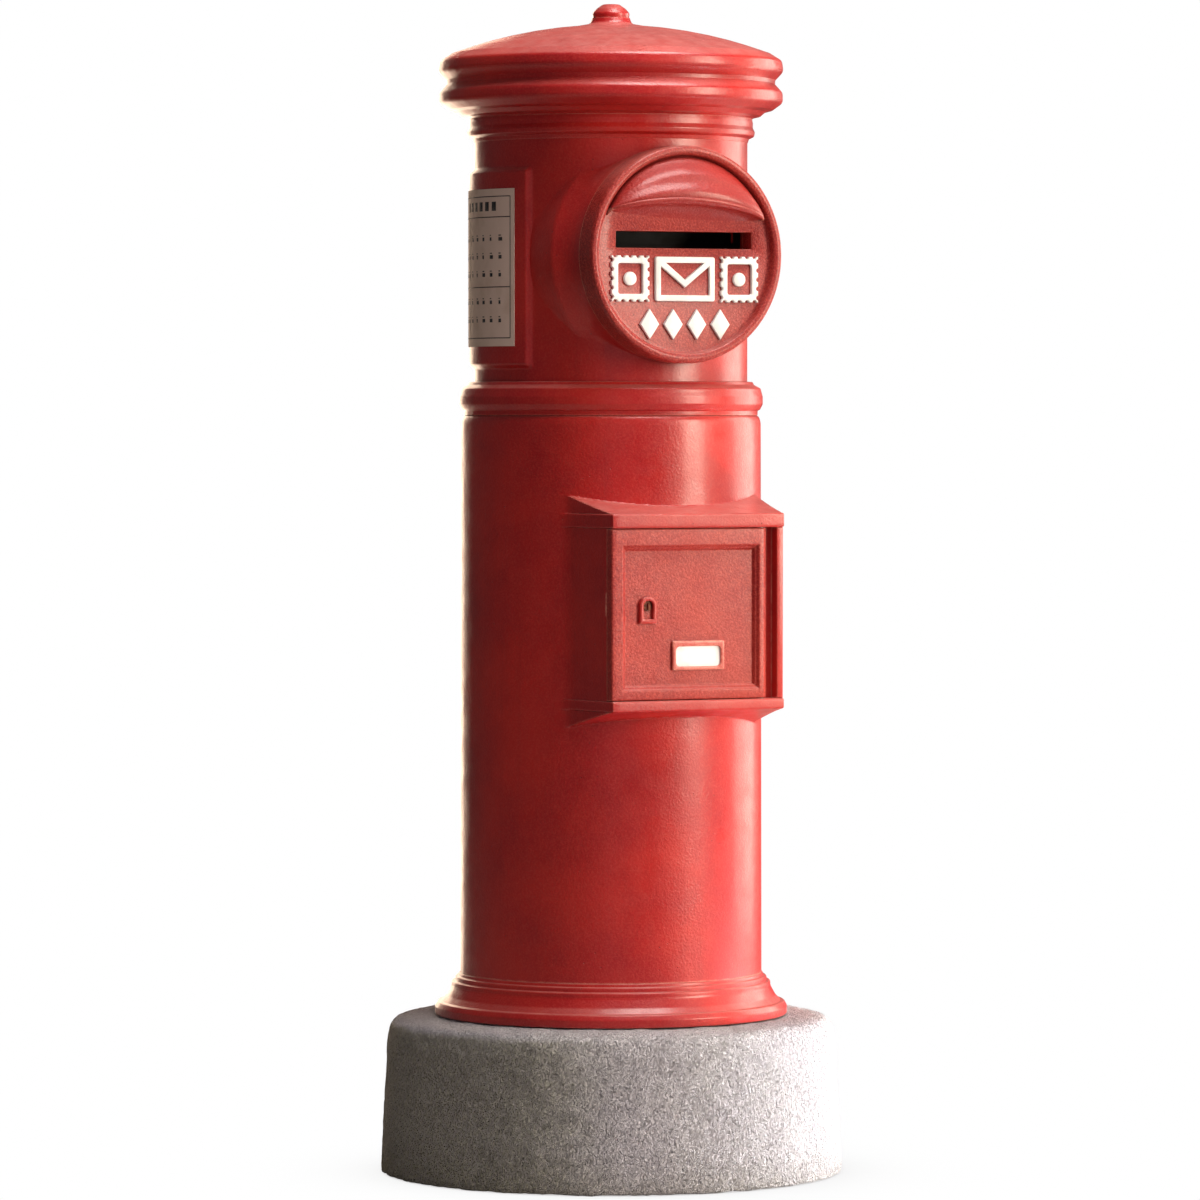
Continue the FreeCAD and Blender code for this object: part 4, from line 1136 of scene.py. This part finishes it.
def stamp_outline(x, z):
    """Postage-stamp outline: a rectangle with round bites along its sides."""
    half_width = 28.0
    half_height = 30.0
    bites = 5
    bite = 3.0
    outline = []
    corners = [(-1, -1), (1, -1), (1, 1), (-1, 1)]
    for (ax, az), (bx, bz) in zip(corners, corners[1:] + corners[:1]):
        start = Vector((x + ax * half_width, z + az * half_height))
        end = Vector((x + bx * half_width, z + bz * half_height))
        along = (end - start).normalized()
        inward = Vector((-along.y, along.x))
        outline.append(tuple(start))
        for i in range(bites):
            middle = start + (end - start) * (i + 0.5) / bites
            for k in range(7):
                angle = math.pi * k / 6
                place = middle - along * bite * math.cos(angle) + inward * bite * math.sin(angle)
                outline.append(tuple(place))
    return outline


def envelope_outlines(x, z):
    """Outer edge of an envelope and the two openings above and below its flap."""
    half_width = 44.0
    half_height = 29.0
    stroke = 8.0
    corner = Vector((half_width - stroke / 2, half_height - stroke / 2))
    along = (Vector((0, -6.0)) - corner).normalized()
    across = Vector((-along.y, along.x))
    if across.y < 0:
        across = -across
    upper = corner + across * stroke / 2
    lower = corner - across * stroke / 2
    top = half_height - stroke
    side = half_width - stroke

    def at_height(start, height):
        return start.x + along.x * (height - start.y) / along.y

    def at_width(start, width):
        return start.y + along.y * (width - start.x) / along.x

    above = [(-at_height(upper, top), top), (0, at_width(upper, 0)), (at_height(upper, top), top)]
    shoulder = at_width(lower, side)
    below = [(-side, -top), (side, -top), (side, shoulder), (0, at_width(lower, 0)), (-side, shoulder)]
    outer = rectangle(x, z, half_width, half_height, 3.0)
    return [outer, [(x + a, z + b) for a, b in above], [(x + a, z + b) for a, b in below]]


def make_raised_emblems():
    front = plate_face + emblem_proud
    back = plate_face - 1
    soft = 1.3
    parts = [prism_mesh("envelope", envelope_outlines(0, emblem_row), front, back, soft)]
    for side in (-1, 1):
        x = side * emblem_side
        frame_outlines = [stamp_outline(x, emblem_row), rectangle(x, emblem_row, 18, 20, 3.0)]
        parts.append(prism_mesh("stamp", frame_outlines, front, back, soft))
        parts.append(prism_mesh("spot", [circle(x, emblem_row, 9, 28)], front, back, soft))
    diamond = [(-14, 0), (0, -20), (14, 0), (0, 20)]
    for i in range(4):
        x = 35.0 * (i - 1.5)
        corners = [(x + a, diamond_row + b) for a, b in diamond]
        parts.append(prism_mesh("diamond", [corners], front, back, soft))
    merge_into(*parts)
    cast("raised_emblems", parts[0], white_paint, slot_name="white_enamel")


# --- Timetable ---

sheet_radius = upper_radius + pad_proud + 0.2
sheet_thickness = 1.4
sheet_half = math.radians(28)
sheet_low = 889.0
sheet_high = 1096.0


def curved_patch(low, high, left, right, inner, outer):
    """Closed curved plate between angles from the front, as (points, faces)."""
    columns = max(1, math.ceil((right - left) / math.radians(2)))
    points = []
    for radius in (inner, outer):
        for z in (low, high):
            for k in range(columns + 1):
                angle = left + (right - left) * k / columns
                points.append(to_metres(radius * math.sin(angle), -radius * math.cos(angle), z))
    row = columns + 1
    faces = []
    for k in range(columns):
        faces.append((k, row + k, row + k + 1, k + 1))
        faces.append((2 * row + k, 2 * row + k + 1, 3 * row + k + 1, 3 * row + k))
        faces.append((k, k + 1, 2 * row + k + 1, 2 * row + k))
        faces.append((row + k, 3 * row + k, 3 * row + k + 1, row + k + 1))
    for k in (0, columns):
        faces.append((k, 2 * row + k, 3 * row + k, row + k))
    return points, faces


def patches_mesh(name, patches):
    points = []
    faces = []
    for patch_points, patch_faces in patches:
        start = len(points)
        points.extend(patch_points)
        faces.extend(tuple(start + index for index in face) for face in patch_faces)
    return mesh_from(name, points, faces)


def make_timetable():
    left = pad_middle - sheet_half
    right = pad_middle + sheet_half
    face = sheet_radius + sheet_thickness
    sheet = mesh_from(
        "timetable_sheet_cast", *curved_patch(sheet_low, sheet_high, left, right, sheet_radius, face)
    )
    cast("timetable_sheet", sheet, sheet_paper, slot_name="timetable_print")

    def printed(low, high, start, end):
        """Patch of ink between two heights and two distances from the sheet's left edge."""
        return curved_patch(low, high, left + start / face, left + end / face, face - 0.3, face + 0.12)

    width = (right - left) * face
    margin = 7.0
    line = 1.3
    top = sheet_high - 10
    bottom = sheet_low + 11
    header = top - 27
    divider = sheet_low + 78
    patches = []
    for z in (top, bottom, header, divider):
        patches.append(printed(z - line / 2, z + line / 2, margin, width - margin))
    for u, end in ((margin, top), (width * 0.36, header), (width - margin, top)):
        patches.append(printed(bottom, end, u - line / 2, u + line / 2))
    for k in range(6):
        u = width * 0.30 + 17.0 * k
        patches.append(printed(header + 8, header + 20, u, u + 9.5))
    rows = [divider + 16 + 23.5 * k for k in range(3)] + [divider - 20, divider - 44]
    for row, z in enumerate(rows):
        for column in range(8):
            u = margin + 9 + column * (width - 2 * margin - 12) / 8
            long = 4.0 + 3.5 * ((row * 5 + column * 3) % 4) / 3
            patches.append(printed(z - 2.4, z + 2.4, u, u + long))
            patches.append(printed(z + 4.2, z + 5.6, u, u + long * 0.7))
    print_mesh = patches_mesh("timetable_marks", patches)
    link("timetable_marks", print_mesh, "cabinet", ink, "timetable_print")


# --- Door ---

door_thickness = 14.0
door_low = cad_door.low
door_high = cad_door.high
hinge_x = cad_door.right - door_thickness / 2
door_left = cad_door.left
panel_depth = 8.0
panel_face = housing_front - panel_depth
panel_left, panel_right = -111.6, 91.0
panel_low, panel_high = 441.0, 630.0
panel_bevel = 7.0


def panel_sink(x, z):
    """How deep the door's face lies behind its frame, in two soft steps."""
    inside = np.array(min(x - panel_left, panel_right - x, z - panel_low, panel_high - z))
    steps = smooth_step(inside, 0, panel_bevel * 0.5) + smooth_step(inside, panel_bevel * 0.6, panel_bevel)
    return float(steps * panel_depth / 2)


def make_door_leaf():
    front = housing_front
    back = front - door_thickness
    half = door_thickness / 2
    edge = 3.0
    offsets = [-2, -1, 0, 1, 2, 3, 4, 5, 6, 7, 8]
    flat = sorted(
        {door_left + edge, -120.0, 93.0, hinge_x}
        | {panel_left + o for o in offsets if o < 9}
        | {panel_right - o for o in offsets if panel_right - o < hinge_x}
        | {float(v) for v in np.linspace(panel_left + 12, panel_right - 12, 17)}
    )
    ring = [(door_left, back), (door_left, front - 8)]
    for k in range(5):
        angle = math.pi / 2 * k / 5
        ring.append((door_left + edge - edge * math.cos(angle), front - edge + edge * math.sin(angle)))
    flat_start = len(ring)
    ring.extend((x, front) for x in flat)
    flat_end = len(ring)
    for k in range(1, 12):
        angle = math.pi * k / 12
        ring.append((hinge_x + half * math.sin(angle), front - half + half * math.cos(angle)))
    ring.append((hinge_x, back))
    rounding = [0.0, 0.35, 0.9, 1.7, 2.6]
    rows = sorted(
        {door_low + r for r in rounding}
        | {door_high - r for r in rounding}
        | {panel_low + o for o in offsets}
        | {panel_high - o for o in offsets}
        | {float(v) for v in np.linspace(panel_low + 12, panel_high - 12, 15)}
    )
    sections = []
    for z in rows:
        fall = float(edge_round(np.array(min(z - door_low, door_high - z)), 2.6))
        section = []
        for j, (x, ahead) in enumerate(ring):
            if flat_start <= j < flat_end:
                ahead -= panel_sink(x, z)
            ahead -= fall if ahead > back + 3 else 0
            section.append(to_metres(x, -ahead, z))
        sections.append(section)
    cast("door_leaf", loft_mesh("door_leaf_cast", sections), shaded_door_enamel, body="door")


def arch(half_width, bottom, segments=20):
    """Outline with a round top about the lock's axis."""
    lock = Extent("lock_plug")
    x = lock.middle_x
    turns = [math.pi * k / segments for k in range(segments + 1)]
    top = [(x + half_width * math.cos(t), lock.middle + half_width * math.sin(t)) for t in turns]
    return [(x - half_width, bottom), (x + half_width, bottom), *top]


def make_escutcheon():
    low = Extent("keyhole_escutcheon").low
    outlines = [arch(12.5, low), arch(7.0, low + 6)]
    mesh = prism_mesh("keyhole_escutcheon_cast", outlines, panel_face + 5, panel_face - 3.8, 1.9)
    cast("keyhole_escutcheon", mesh, smooth_enamel, body="door")


def make_card_holder():
    holder = Extent("card_holder")
    x = holder.middle_x
    z = holder.middle
    half_width = holder.right - x
    half_height = holder.high - z
    window = rectangle(x, z - 1.2, half_width - 5.5, half_height - 6.2, 5.5, 6)
    outlines = [rectangle(x, z, half_width, half_height, 2.5), window]
    mesh = prism_mesh("card_holder_cast", outlines, panel_face + 3.8, panel_face + 1.1, 1.5)
    cast("card_holder", mesh, smooth_enamel, body="door")


make_concrete_base()
make_foot_ring()
make_waist_ring()
make_neck_ring()
make_roof_cap()
make_finial_knob()
make_lower_trunk()
make_upper_trunk()
make_slot_plate()
make_slot_hood()
make_raised_emblems()
make_timetable()
make_door_leaf()
make_escutcheon()
make_card_holder()

# --- Floor, light and camera ---


def make_studio():
    """Pale floor that stays evenly bright to the eye, with a soft shadow painted in where the base stands.
    """
    half = 40.0
    points = [(-half, -half, 0), (half, -half, 0), (half, half, 0), (-half, half, 0)]
    mesh = bpy.data.meshes.new("studio_floor")
    mesh.from_pydata(points, [], [(0, 1, 2, 3)])
    floor = bpy.data.objects.new("studio_floor", mesh)
    bpy.context.scene.collection.objects.link(floor)
    s = Shader("studio_white")
    s.set(Base_Color=(0.32, 0.31, 0.30, 1), Roughness=0.9)
    # Painted contact shadow: the floor's glow is darker where ambient occlusion finds the base nearby.
    shade = s.ramp(s.hollow(0.30), 0.0, 0.85, 0.45, 1.0)
    glow = s.tree.nodes.new("ShaderNodeEmission")
    s.put(glow.inputs["Color"], s.mix(shade, (0.45, 0.43, 0.42, 1), (1, 1, 1, 1)))
    seen = s.tree.nodes.new("ShaderNodeLightPath").outputs["Is Camera Ray"]
    both = s.tree.nodes.new("ShaderNodeMixShader")
    for socket, output in zip(both.inputs, (seen, s.surface.outputs["BSDF"], glow.outputs["Emission"])):
        s.put(socket, output)
    output = next(n for n in s.tree.nodes if n.type == "OUTPUT_MATERIAL")
    s.put(output.inputs["Surface"], both.outputs["Shader"])
    mesh.materials.append(s.material)


def area_light(name, place, target, size, power, colour):
    """Rectangular soft box at a place, turned to a target."""
    lamp = bpy.data.lights.new(name, "AREA")
    lamp.shape = "RECTANGLE"
    lamp.size, lamp.size_y = size
    lamp.energy = power
    lamp.color = colour
    holder = bpy.data.objects.new(name, lamp)
    holder.location = place
    holder.rotation_euler = (Vector(target) - Vector(place)).to_track_quat("-Z", "Y").to_euler()
    bpy.context.scene.collection.objects.link(holder)
    return holder


def polar(azimuth, distance, height):
    """Place seen from the box at an azimuth: 0 is in front of the door, 90 towards +X."""
    angle = math.radians(azimuth)
    return (distance * math.sin(angle), -distance * math.cos(angle), height)


def make_lights():
    middle = (0, 0, 0.8)
    area_light("key_box", polar(38, 5.0, 1.9), middle, (1.6, 3.0), 232, (1.0, 0.87, 0.71))
    area_light("side_strip", polar(94, 2.6, 1.2), middle, (1.5, 2.2), 50, (1.0, 0.90, 0.78))
    area_light("top_box", polar(20, 0.9, 3.4), (0, 0, 1.3), (1.4, 1.4), 78, (1.0, 0.94, 0.90))
    area_light("back_box", polar(169, 3.0, 1.0), middle, (1.2, 2.6), 48, (1.0, 0.74, 0.54))
    low_place = polar(70, 1.15, 0.13)
    low_light = area_light("base_box", low_place, (0.2, 0, 0.1), (0.7, 0.14), 24, (0.98, 0.98, 1.0))
    fill = area_light("soft_fill", polar(-25, 5.0, 1.4), middle, (3.0, 3.0), 36, (1.0, 0.82, 0.90))
    for lamp in (low_light, fill):
        lamp.visible_glossy = False
    world = bpy.data.worlds.new("studio_world")
    world.use_nodes = True
    tree = world.node_tree
    around = tree.nodes["Background"]
    around.inputs["Color"].default_value = (1.0, 0.93, 0.88, 1)
    around.inputs["Strength"].default_value = 0.095
    backdrop = tree.nodes.new("ShaderNodeBackground")
    backdrop.inputs["Color"].default_value = (1, 1, 1, 1)
    both = tree.nodes.new("ShaderNodeMixShader")
    seen = tree.nodes.new("ShaderNodeLightPath").outputs["Is Camera Ray"]
    for socket, output in zip(both.inputs, (seen, around.outputs[0], backdrop.outputs[0])):
        tree.links.new(output, socket)
    tree.links.new(both.outputs[0], tree.nodes["World Output"].inputs["Surface"])
    bpy.context.scene.world = world


def make_camera():
    camera = bpy.data.cameras.new("camera")
    camera.lens = 198.0
    camera.sensor_width = 36.0
    camera.clip_end = 100.0
    holder = bpy.data.objects.new("camera", camera)
    pitch = math.radians(1.667)
    yaw = math.radians(0.0955)
    holder.location = (-4.131, -7.770, 1.018)
    heading = math.atan2(-holder.location.y, -holder.location.x) - math.pi / 2
    holder.rotation_euler = (math.pi / 2 - pitch, 0, heading + yaw)
    bpy.context.scene.collection.objects.link(holder)
    bpy.context.scene.camera = holder


make_studio()
make_lights()
make_camera()
bpy.context.scene.view_settings.view_transform = "Standard"
